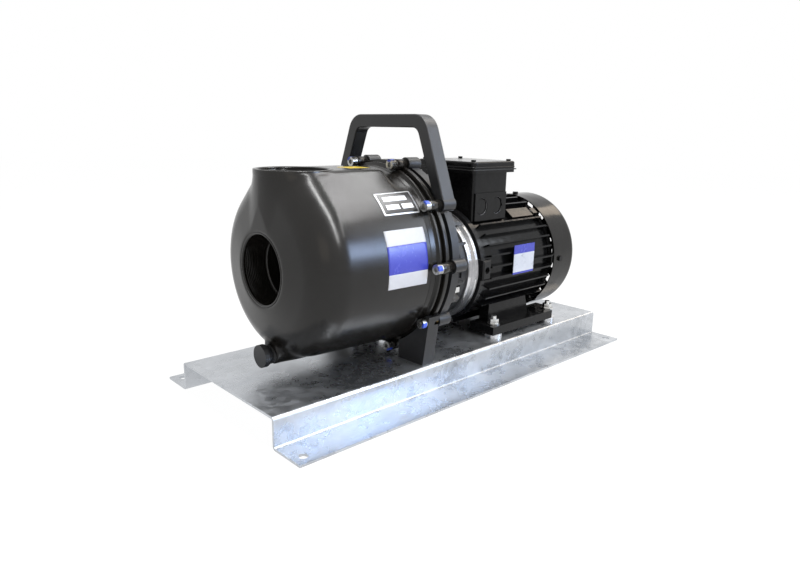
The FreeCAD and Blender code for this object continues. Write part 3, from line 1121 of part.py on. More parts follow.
def make_lid():
    top = f"({MOTOR_Z} + box_top)"
    keep(cut(block("lid_start", "-lid_half", top, "lid_length", "2 * lid_half", "gasket_gauge"),
             block("box_start + box_wall", "-box_half + box_wall", top,
                   "box_length - 2 * box_wall", "2 * (box_half - box_wall)", "gasket_gauge")), "lid_gasket")
    body = new_body("terminal_box_lid")
    cover = new_sketch(body, "XY_Plane", out=f"{top} + gasket_gauge")
    polygon(cover, [("lid_start", "-lid_half"), ("lid_start + lid_length", "-lid_half"),
                    ("lid_start + lid_length", "lid_half"), ("lid_start", "lid_half")])
    feature(body, "Pad", cover, Length="lid_height")
    round_edges(body, "lid_corner", lambda e: runs_along(e, Vector(0, 0, 1)))
    top_z = SIZES["base_height"] + SIZES["spacer_height"] + SIZES["motor_height"] + SIZES["box_top"]
    top_z += SIZES["gasket_gauge"] + SIZES["lid_height"]
    round_edges(body, "lid_edge", lambda e: near(e.BoundBox.ZMin, top_z) and near(e.BoundBox.ZMax, top_z))
    screws = []
    for x in ("lid_start + lid_screw_inset", "lid_start + lid_length - lid_screw_inset"):
        for side in (-1, 1):
            y = f"{side} * (lid_half - lid_screw_inset)"
            screws.append(cylinder("z", x, y, f"{top} + gasket_gauge + lid_height", "lid_screw_radius",
                                   "lid_screw_height"))
    keep(group(*screws), "lid_screws")
    plugs = [cylinder("y", f"box_start + gland_start + {x} * gland_pitch",
                      "-box_half - panel_gauge + gland_sink / 2", f"{MOTOR_Z} + gland_rise",
                      "gland_hole / 2 - plug_gap", "gland_sink / 2") for x in (0, 1)]
    keep(group(*plugs), "gland_plugs")
    floor = f"({MOTOR_Z} + frame_radius + board_rise)"
    keep(block("box_start + board_start", "-board_half", floor, "board_length", "2 * board_half",
               "board_gauge"), "terminal_board")
    studs = [cylinder("z", f"box_start + stud_start + {x} * stud_pitch", f"{y} * stud_spread",
                      f"{floor} + board_gauge", "stud_radius", "stud_height")
             for x in (0, 1) for y in (-1, 0, 1)]
    keep(group(*studs), "terminal_studs")


def make_flange_bolts():
    screws = []
    for angle in LUG_ANGLES:
        y, z = on_circle(angle, "flange_bolt_circle", MOTOR_Z)
        screws.append(socket_screw("motor_face - hub_flange", y, z, "bolt_size", "cap_head", "cap_height",
                                   "hub_flange + machined_width - bolt_bottom"))
    keep(group(*screws), "flange_bolts")
    keep(tube("x", "motor_face - spigot_depth + seal_setback", "0", MOTOR_Z,
              "shaft_size / 2 + seal_lip", "shaft_size / 2 + run_gap", "seal_width"), "shaft_seal")
    keep(tube("x", "motor_face - slinger_setback", "0", MOTOR_Z, "shaft_size / 2 + slinger_reach",
              "shaft_size / 2", "slinger_gauge"), "water_slinger")


# Files

def check_and_write():
    os.makedirs("parts", exist_ok=True)
    doc.recompute()
    for thing in doc.Objects:
        if {"Invalid", "Error"} & set(thing.State):
            raise RuntimeError(f"{thing.Name} ({thing.Label}) failed: {thing.State}")
    for node in nodes:
        if node.Shape.isNull() or not node.Shape.isValid():
            raise RuntimeError(f"{node.Label} has a bad shape")
        node.Shape.exportStep(f"parts/{node.Label}.step")
        box = node.Shape.BoundBox
        print(f"{node.Label}: {len(node.Shape.Solids)} solids, {node.Shape.Volume:.0f} mm3, "
              f"x {box.XMin:.1f}..{box.XMax:.1f} y {box.YMin:.1f}..{box.YMax:.1f} "
              f"z {box.ZMin:.1f}..{box.ZMax:.1f}")


fill_sheet()
for make in (make_base, make_pump_body, make_check_valve, make_volute, make_suction_duct, make_impeller,
             make_seal_and_nut, make_adapter, make_clamp_bolts, make_flush_plug, make_drain,
             make_handle, make_pump_foot, make_foot_bolts, make_drive_shield, make_rear_shield,
             make_frame, make_tie_bolts, make_feet, make_cowl, make_cowl_screws, make_rotor,
             make_stator, make_fan, make_terminal_box, make_lid, make_flange_bolts):
    make()
check_and_write()
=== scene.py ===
import math
import bpy
import numpy as np
from mathutils import Matrix, Vector


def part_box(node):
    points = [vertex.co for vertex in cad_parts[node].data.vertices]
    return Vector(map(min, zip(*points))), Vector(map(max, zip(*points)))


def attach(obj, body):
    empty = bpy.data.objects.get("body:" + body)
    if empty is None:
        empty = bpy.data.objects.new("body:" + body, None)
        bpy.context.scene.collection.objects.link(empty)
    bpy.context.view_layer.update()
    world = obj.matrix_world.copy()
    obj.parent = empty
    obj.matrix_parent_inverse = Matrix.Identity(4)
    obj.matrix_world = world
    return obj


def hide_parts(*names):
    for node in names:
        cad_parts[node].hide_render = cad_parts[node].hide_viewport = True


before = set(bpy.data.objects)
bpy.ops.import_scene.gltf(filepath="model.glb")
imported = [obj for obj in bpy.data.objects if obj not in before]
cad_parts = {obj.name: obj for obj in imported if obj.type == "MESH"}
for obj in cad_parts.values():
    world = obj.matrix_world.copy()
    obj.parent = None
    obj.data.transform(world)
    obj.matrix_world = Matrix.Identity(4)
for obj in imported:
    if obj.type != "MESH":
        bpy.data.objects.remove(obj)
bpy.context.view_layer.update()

# Places and sizes in metres, read from the frame where it holds them

MM = 0.001
BODY_FRONT, JOINT = (corner[0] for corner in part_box("pump_body"))
PUMP_Z = sum(corner[2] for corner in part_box("body_joint_ring")) / 2
MOTOR_Z = sum(corner[2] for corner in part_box("shaft")) / 2
DISCHARGE_X = BODY_FRONT + 50 * MM
DISCHARGE_TOP = PUMP_Z + 118.5 * MM
PORT_RADIUS = 42.5 * MM
BOLT_CIRCLE, BOLT_FIRST, BOLT_COUNT = 129.4 * MM, math.radians(18), 10
FOOT_BOLTS = (3, 6)
SHIELD_SPIGOT, RIM_DEPTH, RIM_RADIUS = 3.5 * MM, 16 * MM, 88 * MM
RIM_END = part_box("drive_end_shield")[0][0] + SHIELD_SPIGOT + RIM_DEPTH



# Node trees

def feed(tree, socket, value):
    """Link an output to the socket, or set the socket to a plain value."""
    if isinstance(value, bpy.types.NodeSocket):
        tree.links.new(value, socket)
    else:
        socket.default_value = value


def add(tree, kind, inputs=None, **settings):
    """A new node with its settings and its inputs fed."""
    node = tree.nodes.new(kind)
    for name, value in settings.items():
        setattr(node, name, value)
    for name, value in (inputs or {}).items():
        feed(tree, node.inputs[name], value)
    return node


def math_node(tree, operation, *values):
    node = add(tree, "ShaderNodeMath", operation=operation)
    for socket, value in zip(node.inputs, values):
        feed(tree, socket, value)
    return node.outputs[0]


def blend_colour(tree, factor, first, second):
    node = add(tree, "ShaderNodeMix", {0: factor, 6: first, 7: second}, data_type="RGBA")
    return node.outputs[2]


def spread(tree, value, low, high, to_low=0.0, to_high=1.0):
    """Map a value's range to another, clamped."""
    node = add(tree, "ShaderNodeMapRange", {"Value": value, "From Min": low, "From Max": high,
                                            "To Min": to_low, "To Max": to_high})
    return node.outputs["Result"]


def noise(tree, vector, scale, detail=3.0, roughness=0.55):
    node = add(tree, "ShaderNodeTexNoise", {"Vector": vector, "Scale": scale, "Detail": detail,
                                            "Roughness": roughness})
    return node.outputs["Fac"]


def shader_group(name, inputs, outputs):
    """An empty node group with named inputs and outputs, and the sockets at its two ends."""
    tree = bpy.data.node_groups.new(name, "ShaderNodeTree")
    for label, kind, value in inputs:
        socket = tree.interface.new_socket(label, in_out="INPUT", socket_type=kind)
        if value is not None:
            socket.default_value = value
    for label, kind in outputs:
        tree.interface.new_socket(label, in_out="OUTPUT", socket_type=kind)
    given, made = tree.nodes.new("NodeGroupInput"), tree.nodes.new("NodeGroupOutput")
    return tree, given.outputs, made.inputs


def axis_distance(tree, axes, axis_height):
    """Distance of a split position from an X axis at the given height."""
    up = math_node(tree, "SUBTRACT", axes["Z"], axis_height)
    return math_node(tree, "SQRT", math_node(
        tree, "ADD", math_node(tree, "MULTIPLY", up, up),
        math_node(tree, "MULTIPLY", axes["Y"], axes["Y"])))


def use_group(tree, group, **inputs):
    node = add(tree, "ShaderNodeGroup", node_tree=group)
    for name, value in inputs.items():
        feed(tree, node.inputs[name.replace("_", " ")], value)
    return node.outputs


FLOAT, VECTOR = "NodeSocketFloat", "NodeSocketVector"


def make_grain_group():
    """Moulded or cast surface: fine grain over slow waves, as a normal and a mask."""
    tree, given, made = shader_group(
        "SurfaceGrain", [("Vector", VECTOR, None), ("Scale", FLOAT, 900.0),
                         ("Depth", FLOAT, 0.00004), ("Wave Scale", FLOAT, 14.0),
                         ("Wave Depth", FLOAT, 0.0006)],
        [("Normal", VECTOR), ("Mask", FLOAT)])
    waves = noise(tree, given["Vector"], given["Wave Scale"], 1.0)
    grain = noise(tree, given["Vector"], given["Scale"], 2.0)
    slow = add(tree, "ShaderNodeBump", {"Height": waves, "Distance": given["Wave Depth"]})
    fine = add(tree, "ShaderNodeBump", {"Height": grain, "Distance": given["Depth"],
                                        "Normal": slow.outputs[0]})
    feed(tree, made["Normal"], fine.outputs[0])
    feed(tree, made["Mask"], grain)
    return tree


def make_smudge_group():
    """Handling marks: broad soft patches broken up by finer ones, from 0 to 1."""
    tree, given, made = shader_group(
        "Smudges", [("Vector", VECTOR, None), ("Scale", FLOAT, 18.0)], [("Mask", FLOAT)])
    broad = noise(tree, given["Vector"], given["Scale"], 4.0, 0.6)
    finer = math_node(tree, "MULTIPLY", given["Scale"], 7.0)
    small = noise(tree, given["Vector"], finer, 3.0, 0.6)
    both = math_node(tree, "ADD", math_node(tree, "MULTIPLY", broad, 0.7),
                     math_node(tree, "MULTIPLY", small, 0.3))
    feed(tree, made["Mask"], spread(tree, both, 0.35, 0.65))
    return tree


def make_dust_group():
    """Light dust that lies where a surface faces up."""
    tree, given, made = shader_group(
        "Dust", [("Vector", VECTOR, None), ("Amount", FLOAT, 0.2)], [("Mask", FLOAT)])
    facing = add(tree, "ShaderNodeSeparateXYZ",
                 {"Vector": add(tree, "ShaderNodeNewGeometry").outputs["Normal"]}).outputs["Z"]
    flat = spread(tree, facing, 0.55, 1.0)
    patches = spread(tree, noise(tree, given["Vector"], 55.0, 5.0, 0.65), 0.42, 0.7)
    feed(tree, made["Mask"], math_node(tree, "MULTIPLY", given["Amount"],
                                       math_node(tree, "MULTIPLY", flat, patches)))
    return tree


def make_turned_group():
    """Fine tool lines round the motor's axis."""
    tree, given, made = shader_group(
        "TurnedLines", [("Vector", VECTOR, None), ("Axis Height", FLOAT, MOTOR_Z),
                        ("Scale", FLOAT, 1400.0), ("Depth", FLOAT, 0.00002)],
        [("Normal", VECTOR), ("Mask", FLOAT)])
    split = add(tree, "ShaderNodeSeparateXYZ", {"Vector": given["Vector"]}).outputs
    radius = axis_distance(tree, split, given["Axis Height"])
    along = add(tree, "ShaderNodeCombineXYZ", {"X": split["X"], "Y": radius}).outputs[0]
    lines = noise(tree, along, given["Scale"], 2.0)
    bump = add(tree, "ShaderNodeBump", {"Height": lines, "Distance": given["Depth"]})
    feed(tree, made["Normal"], bump.outputs[0])
    feed(tree, made["Mask"], lines)
    return tree


GRAIN, SMUDGES = make_grain_group(), make_smudge_group()
DUST, TURNED = make_dust_group(), make_turned_group()


# Materials

def cleared_tree(owner):
    """The emptied node tree of a material or a world."""
    owner.use_nodes = True
    owner.node_tree.nodes.clear()
    return owner.node_tree


def blank_material(name):
    """A material with a bare shader: itself, its tree, the shader's inputs and the position."""
    material = bpy.data.materials.new(name)
    tree = cleared_tree(material)
    shader = add(tree, "ShaderNodeBsdfPrincipled")
    output = add(tree, "ShaderNodeOutputMaterial")
    tree.links.new(shader.outputs[0], output.inputs[0])
    place = add(tree, "ShaderNodeTexCoord").outputs["Object"]
    return material, tree, shader.inputs, place


SETTLED_DUST, DUST_ROUGHNESS = (0.32, 0.32, 0.31, 1), 0.5


def surface(name, colour, other, roughness, grain, wave, smudge, dust, **fixed):
    """A finish with two mixed tones, a roughness range, grain, waves, smudges and settled dust.

    Grain and wave are (scale, depth), smudge is a scale, and dust is an amount."""
    material, tree, shader, place = blank_material(name)
    marks = use_group(tree, SMUDGES, Vector=place, Scale=smudge)["Mask"]
    relief = use_group(tree, GRAIN, Vector=place, Scale=grain[0], Depth=grain[1],
                       Wave_Scale=wave[0], Wave_Depth=wave[1])
    settled = use_group(tree, DUST, Vector=place, Amount=dust)["Mask"]
    tone = blend_colour(tree, marks, (*colour, 1), (*other, 1))
    feed(tree, shader["Base Color"], blend_colour(tree, settled, tone, SETTLED_DUST))
    rough = spread(tree, marks, 0.0, 1.0, *roughness)
    dulled = math_node(tree, "MULTIPLY", settled, DUST_ROUGHNESS)
    feed(tree, shader["Roughness"], math_node(tree, "ADD", rough, dulled))
    feed(tree, shader["Normal"], relief["Normal"])
    for label, value in fixed.items():
        shader[label.replace("_", " ")].default_value = value
    return material


def galvanised():
    """Hot-dip zinc: soft spangles, cloudy patches and drawn streaks."""
    material, tree, shader, place = blank_material("galvanised_steel")
    cells = add(tree, "ShaderNodeTexVoronoi", {"Vector": place, "Scale": 120.0, "Randomness": 1.0})
    spangle = add(tree, "ShaderNodeSeparateColor", {"Color": cells.outputs["Color"]}).outputs[0]
    clouds = spread(tree, noise(tree, place, 16.0, 6.0, 0.6), 0.36, 0.66)
    stretched = add(tree, "ShaderNodeMapping", {"Vector": place, "Scale": (1.0, 6.0, 6.0)})
    streaks = spread(tree, noise(tree, stretched.outputs[0], 22.0, 5.0, 0.6), 0.4, 0.7)
    base = blend_colour(tree, clouds, (0.39, 0.41, 0.435, 1), (0.57, 0.59, 0.615, 1))
    fleck = math_node(tree, "MULTIPLY", spangle, 0.28)
    tinted = blend_colour(tree, fleck, base, (0.74, 0.76, 0.80, 1))
    drawn = math_node(tree, "MULTIPLY", streaks, 0.25)
    feed(tree, shader["Base Color"], blend_colour(tree, drawn, tinted, (0.42, 0.45, 0.49, 1)))
    rough = math_node(tree, "ADD", spread(tree, clouds, 0.0, 1.0, 0.16, 0.34),
                      math_node(tree, "MULTIPLY", spangle, 0.10))
    feed(tree, shader["Roughness"], rough)
    height = math_node(tree, "ADD", math_node(tree, "MULTIPLY", spangle, 0.35), clouds)
    relief = add(tree, "ShaderNodeBump", {"Height": height, "Distance": 0.00012})
    feed(tree, shader["Normal"], relief.outputs[0])
    shader["Metallic"].default_value = 0.92
    return material


def turned_metal(name, colour, other, roughness):
    """Bare steel with tool lines round the motor's axis."""
    material, tree, shader, place = blank_material(name)
    lines = use_group(tree, TURNED, Vector=place)
    marks = use_group(tree, SMUDGES, Vector=place, Scale=30.0)["Mask"]
    feed(tree, shader["Base Color"], blend_colour(tree, marks, (*colour, 1), (*other, 1)))
    feed(tree, shader["Roughness"], spread(tree, lines["Mask"], 0.2, 0.8, *roughness))
    feed(tree, shader["Normal"], lines["Normal"])
    shader["Metallic"].default_value = 1.0
    return material


def shield_casting():
    """Black enamel with a bare turned rim round the mounting face."""
    material, tree, shader, place = blank_material("shield_casting")
    axes = add(tree, "ShaderNodeSeparateXYZ", {"Vector": place}).outputs
    rough_edge = math_node(tree, "MULTIPLY", noise(tree, place, 160.0, 2.0), 0.8 * MM)
    along = math_node(tree, "ADD", axes["X"], rough_edge)
    radius = axis_distance(tree, axes, MOTOR_Z)
    before = spread(tree, along, RIM_END + 0.3 * MM, RIM_END - 0.1 * MM)
    within = spread(tree, radius, RIM_RADIUS + 0.4 * MM, RIM_RADIUS + 0.2 * MM)
    bare = math_node(tree, "MULTIPLY", before, within)
    lines = use_group(tree, TURNED, Vector=place, Scale=1100.0, Depth=0.00003)
    marks = use_group(tree, SMUDGES, Vector=place, Scale=24.0)["Mask"]
    relief = use_group(tree, GRAIN, Vector=place, Scale=420.0, Depth=0.00009)
    steel = blend_colour(tree, marks, (0.60, 0.60, 0.61, 1), (0.82, 0.82, 0.83, 1))
    paint = blend_colour(tree, marks, (0.0065, 0.0065, 0.007, 1), (0.011, 0.011, 0.0115, 1))
    feed(tree, shader["Base Color"], blend_colour(tree, bare, paint, steel))
    steel_rough = spread(tree, lines["Mask"], 0.2, 0.8, 0.16, 0.36)
    paint_rough = spread(tree, marks, 0.0, 1.0, 0.12, 0.24)
    rough = add(tree, "ShaderNodeMix", {0: bare, 2: paint_rough, 3: steel_rough},
                data_type="FLOAT")
    feed(tree, shader["Roughness"], rough.outputs[0])
    feed(tree, shader["Metallic"], bare)
    normal = add(tree, "ShaderNodeMix", {0: bare, 4: relief["Normal"], 5: lines["Normal"]},
                 data_type="VECTOR")
    feed(tree, shader["Normal"], normal.outputs[1])
    shader["Specular IOR Level"].default_value = 0.24
    return material


POLYMER = surface("body_polymer", (0.0075, 0.0066, 0.0056), (0.0110, 0.0098, 0.0084),
                  (0.19, 0.27), (700.0, 0.00001), (9.0, 0.0005), 11.0, 0.03,
                  Specular_IOR_Level=0.35)
COMPOSITE = surface("moulded_composite", (0.013, 0.0133, 0.0142), (0.021, 0.0215, 0.0235),
                    (0.30, 0.42), (1100.0, 0.00006), (20.0, 0.0004), 22.0, 0.06,
                    Specular_IOR_Level=0.42)
STAINLESS = surface("stainless_steel", (0.58, 0.58, 0.57), (0.72, 0.72, 0.71), (0.16, 0.34),
                    (1600.0, 0.00002), (60.0, 0.0001), 60.0, 0.05, Metallic=1.0)
ENAMEL = surface("black_enamel", (0.0035, 0.0035, 0.0037), (0.006, 0.006, 0.0062), (0.10, 0.2),
                 (420.0, 0.00007), (60.0, 0.0004), 26.0, 0.02, Specular_IOR_Level=0.20)
SHEET_ENAMEL = surface("sheet_enamel", (0.0045, 0.0042, 0.0038), (0.008, 0.0072, 0.0064),
                       (0.08, 0.16), (260.0, 0.00003), (30.0, 0.0005), 16.0, 0.02,
                       Specular_IOR_Level=0.27)
RUBBER = surface("black_rubber", (0.014, 0.014, 0.014), (0.024, 0.024, 0.024), (0.6, 0.8),
                 (1300.0, 0.00006), (50.0, 0.0002), 40.0, 0.1)
BRASS = surface("brass_insert", (0.55, 0.40, 0.17), (0.66, 0.50, 0.24), (0.22, 0.4),
                (1500.0, 0.00002), (60.0, 0.0001), 50.0, 0.05, Metallic=1.0)
COPPER = surface("copper_winding", (0.36, 0.12, 0.05), (0.48, 0.18, 0.07), (0.25, 0.45),
                 (500.0, 0.0002), (60.0, 0.0003), 40.0, 0.05, Metallic=0.6)
IRON = surface("machined_iron", (0.20, 0.20, 0.20), (0.28, 0.28, 0.28), (0.3, 0.5),
               (900.0, 0.00004), (60.0, 0.0002), 40.0, 0.05, Metallic=0.9)
PLASTIC = surface("black_plastic", (0.02, 0.02, 0.02), (0.03, 0.03, 0.03), (0.45, 0.6),
                  (900.0, 0.00005), (40.0, 0.0002), 30.0, 0.1)
CAP_SCREW = surface("cap_screw_steel", (0.30, 0.30, 0.29), (0.44, 0.44, 0.43), (0.2, 0.38),
                    (900.0, 0.00003), (60.0, 0.0001), 60.0, 0.05, Metallic=1.0)
BRIGHT = turned_metal("ground_steel", (0.62, 0.62, 0.63), (0.74, 0.74, 0.75), (0.12, 0.26))
SHIELD = shield_casting()
ZINC = galvanised()
LABEL_BLACK = surface("label_black", (0.008, 0.008, 0.009), (0.013, 0.013, 0.014), (0.16, 0.24),
                      (500.0, 0.00001), (40.0, 0.0001), 30.0, 0.03)
LABEL_SILVER = surface("label_silver", (0.55, 0.56, 0.58), (0.68, 0.69, 0.71), (0.28, 0.4),
                       (900.0, 0.00002), (60.0, 0.0001), 50.0, 0.02, Metallic=0.7)
STICKER_WHITE = surface("sticker_white", (0.48, 0.48, 0.50), (0.54, 0.54, 0.56), (0.42, 0.52),
                        (500.0, 0.00001), (40.0, 0.0002), 30.0, 0.0)
STICKER_BLUE = surface("sticker_blue", (0.035, 0.042, 0.33), (0.05, 0.060, 0.40), (0.2, 0.3),
                       (500.0, 0.00001), (40.0, 0.0002), 30.0, 0.0)
# Lighter grey enamel on the knockout rims: a painted highlight standing in for their glints
PAINTED_GLINT_ENAMEL = surface("painted_glint_rim_enamel", (0.05, 0.05, 0.052), (0.20, 0.20, 0.205), (0.12, 0.24),
                     (420.0, 0.00005), (60.0, 0.0003), 160.0, 0.0)
STICKER_GREY = surface("nameplate_silver", (0.48, 0.51, 0.58), (0.58, 0.61, 0.68), (0.25, 0.38),
                       (700.0, 0.00002), (50.0, 0.0001), 45.0, 0.0, Metallic=0.3)
STICKER_YELLOW = surface("sticker_yellow", (0.72, 0.50, 0.02), (0.82, 0.60, 0.05), (0.25, 0.35),
                         (500.0, 0.00001), (40.0, 0.0002), 30.0, 0.0)
PAINT_MARK = surface("paint_mark", (0.03, 0.07, 0.50), (0.06, 0.12, 0.62), (0.3, 0.5),
                     (900.0, 0.00006), (200.0, 0.0002), 120.0, 0.0)

# Nodes by finish; every other node is stainless steel
FINISHED = (
    (ZINC, ("base_plate",)), (POLYMER, ("valve_pin_lugs",)), (COPPER, ("windings",)),
    (RUBBER, ("check_valve_flap", "body_joint_ring", "drain_ring", "shaft_seal", "water_slinger",
              "lid_gasket")),
    (COMPOSITE, ("volute", "suction_duct", "impeller", "adapter", "handle", "pump_foot",
                 "drain_plug")),
    (BRASS, ("clamp_inserts", "terminal_studs")),
    (IRON, ("rotor_core", "stator_core", "seal_seat")),
    (SHIELD, ("drive_end_shield",)), (SHEET_ENAMEL, ("fan_cowl",)), (CAP_SCREW, ("clamp_bolts",)),
    (ENAMEL, ("rear_end_shield", "motor_frame", "motor_foot_right", "motor_foot_left",
              "terminal_box", "terminal_box_lid", "lid_screws", "gland_plugs", "cowl_screws",
              "tie_bolts", "earth_screw_head")),
    (PLASTIC, ("cooling_fan", "terminal_board")),
    (BRIGHT, ("shaft", "drive_bearing_inner", "drive_bearing_outer", "rear_bearing_inner",
              "rear_bearing_outer", "motor_spacers")),
)
NODE_FINISH = {node: finish for finish, nodes in FINISHED for node in nodes}

for node_name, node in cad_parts.items():
    node.data.materials.clear()
    node.data.materials.append(NODE_FINISH.get(node_name, STAINLESS))


# Mesh helpers

EDGE_SEGMENTS, SHARP_ANGLE = 2, math.radians(35)


def new_piece(name, points, faces, material, smooth=True):
    """A mesh object of points in metres, with one material."""
    mesh = bpy.data.meshes.new(name)
    mesh.from_pydata([tuple(p) for p in points], [], [tuple(int(i) for i in f) for f in faces])
    mesh.validate()
    piece = bpy.data.objects.new(name, mesh)
    bpy.context.scene.collection.objects.link(piece)
    mesh.materials.append(material)
    mesh.polygons.foreach_set("use_smooth", [smooth] * len(mesh.polygons))
    return piece


def fit(piece, body="root"):
    """Hang the finished piece on its body."""
    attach(piece, body)
    return piece


def apply_modifiers(piece):
    """Bake the piece's modifiers into its own mesh."""
    graph = bpy.context.evaluated_depsgraph_get()
    mesh = bpy.data.meshes.new_from_object(piece.evaluated_get(graph))
    piece.modifiers.clear()
    piece.data = mesh
    return piece


def soften(piece, width):
    """Round every sharp edge to the given width, with even shading across the flats."""
    bevel = piece.modifiers.new("edges", "BEVEL")
    bevel.width, bevel.segments = width, EDGE_SEGMENTS
    bevel.limit_method, bevel.angle_limit = "ANGLE", SHARP_ANGLE
    bevel.harden_normals = False
    apply_modifiers(piece)
    piece.data.polygons.foreach_set("use_smooth", [True] * len(piece.data.polygons))
    weighted = piece.modifiers.new("shading", "WEIGHTED_NORMAL")
    weighted.keep_sharp = True
    return apply_modifiers(piece)


def wrapped_faces(sections, count, closed=True, flipped=False):
    """Quads from each closed section of count points to the next, and from the last to the first
    if closed. Flipped suits points that run the other way round."""
    faces = []
    for section in range(sections if closed else sections - 1):
        here, after = section * count, (section + 1) % sections * count
        for i in range(count):
            j = (i + 1) % count
            faces.append((here + i, after + i, after + j, here + j) if flipped
                         else (here + i, here + j, after + j, after + i))
    return faces


def end_caps(sections, count):
    """The two faces that close a bar made of such sections."""
    last = (sections - 1) * count
    return [tuple(range(count))[::-1], tuple(last + i for i in range(count))]


def lathe(name, outline, axis_z, material, steps, edge):
    """A closed outline of (x, radius) turned about an X axis at the given height."""
    points = []
    for step in range(steps):
        turn = 2 * math.pi * step / steps
        points += [(x, -r * math.sin(turn), axis_z + r * math.cos(turn)) for x, r in outline]
    return soften(new_piece(name, points, wrapped_faces(steps, len(outline)), material), edge)


# Body shell as a distance field in millimetres, meshed on a fine grid

def soft_min(a, b, reach):
    """The lesser of two distances, rounded where they are nearly equal."""
    share = np.maximum(reach - np.abs(a - b), 0) / reach
    return np.minimum(a, b) - share * share * reach / 4


def soft_max(a, b, reach):
    return -soft_min(-a, -b, reach)


def ramp(value, start, end):
    """0 before the start and 1 past the end, with a smooth rise between."""
    share = np.clip((value - start) / (end - start), 0, 1)
    return share * share * (3 - 2 * share)


def outline_distance(x, r, corners):
    """Signed distance to a convex outline given anticlockwise in (x, r)."""
    nearest = np.full(x.shape, 1e9, np.float32)
    outside = np.full(x.shape, -1e9, np.float32)
    for (ax, ar), (bx, br) in zip(corners, corners[1:] + corners[:1]):
        dx, dr = bx - ax, br - ar
        length = math.hypot(dx, dr)
        px, pr = x - ax, r - ar
        along = np.clip((px * dx + pr * dr) / length ** 2, 0, 1)
        nearest = np.minimum(nearest, np.hypot(px - along * dx, pr - along * dr))
        outside = np.maximum(outside, (px * dr - pr * dx) / length)
    return np.where(outside > 0, nearest, -nearest)


def inset(corners, amount):
    """Move every side of a convex anticlockwise outline inwards."""
    lines = []
    for (ax, ar), (bx, br) in zip(corners, corners[1:] + corners[:1]):
        length = math.hypot(bx - ax, br - ar)
        nx, nr = (br - ar) / length, -(bx - ax) / length
        lines.append((nx, nr, nx * ax + nr * ar - amount))
    moved = []
    for (a, b, c), (d, e, f) in zip(lines[-1:] + lines[:-1], lines):
        det = a * e - b * d
        moved.append(((c * e - b * f) / det, (a * f - c * d) / det))
    return moved


AXIS = PUMP_Z / MM
FRONT, REAR = BODY_FRONT / MM, JOINT / MM

# The outlines run on past the axis and the joint, where the body is cut off
PAST_AXIS, PAST_JOINT = -160.0, REAR + 160
FACE, FACE_RADIUS = FRONT + 13, 48.0
FACE_EDGE_RADIUS, PAST_JOINT_RADIUS = 115.5, 124.0
SHOULDER = 46.0
BARREL_CORE = inset([(FRONT, PAST_AXIS), (PAST_JOINT, PAST_AXIS), (PAST_JOINT, PAST_JOINT_RADIUS),
                     (FACE, FACE_EDGE_RADIUS), (FRONT, FACE_RADIUS)], SHOULDER)
CAVITY = [(FRONT + 41, PAST_AXIS), (REAR + 60, PAST_AXIS), (REAR + 60, 111.0),
          (FRONT + 55, 106.5), (FRONT + 41, 98.5)]

# Discharge: a collar on a ridge whose two flanks lie flat against the barrel
MOUTH_X, MOUTH_TOP = DISCHARGE_X / MM, DISCHARGE_TOP / MM
COLLAR_RADIUS, COLLAR_FOOT = 48.0, AXIS + 52
MOUTH_RADIUS, MOUTH_FLOOR = 44.3, AXIS + 83.5
FLANK_TURN = math.radians(43)
RIDGE_END = MOUTH_X + 108
RIDGE_FADE = (RIDGE_END - 9, RIDGE_END + 3)
RIDGE_RISE = 3

# Suction: a spigot inside the face, and the steps of its bore as (radius, end)
SPIGOT_RADIUS, SPIGOT_END = 44, FRONT + 62
SUCTION_BORES = ((44.3, FRONT + 32), (38, FRONT + 54), (33, FRONT + 70))

DRAIN_Z, DRAIN_RADIUS, DRAIN_BORE, DRAIN_BORE_END = 66, 13.5, 8, FRONT + 60
DRAIN_FRONT, DRAIN_REAR = FRONT + 12, -150

# How far neighbouring surfaces round into each other
COLLAR_BLEND, TOP_BLEND, DRAIN_BLEND, DRAIN_EDGE, JOINT_EDGE, CAVITY_EDGE = 7, 4.5, 14, 2.5, 1, 2
SUCTION_EDGE, MOUTH_EDGE, DRAIN_BORE_EDGE = 4, 2, 1

GRID_STEP = 2.1
GRID_LOW = (FRONT - 4, -126, AXIS - 132)
GRID_HIGH = (REAR + 3, 126, MOUTH_TOP + 4)


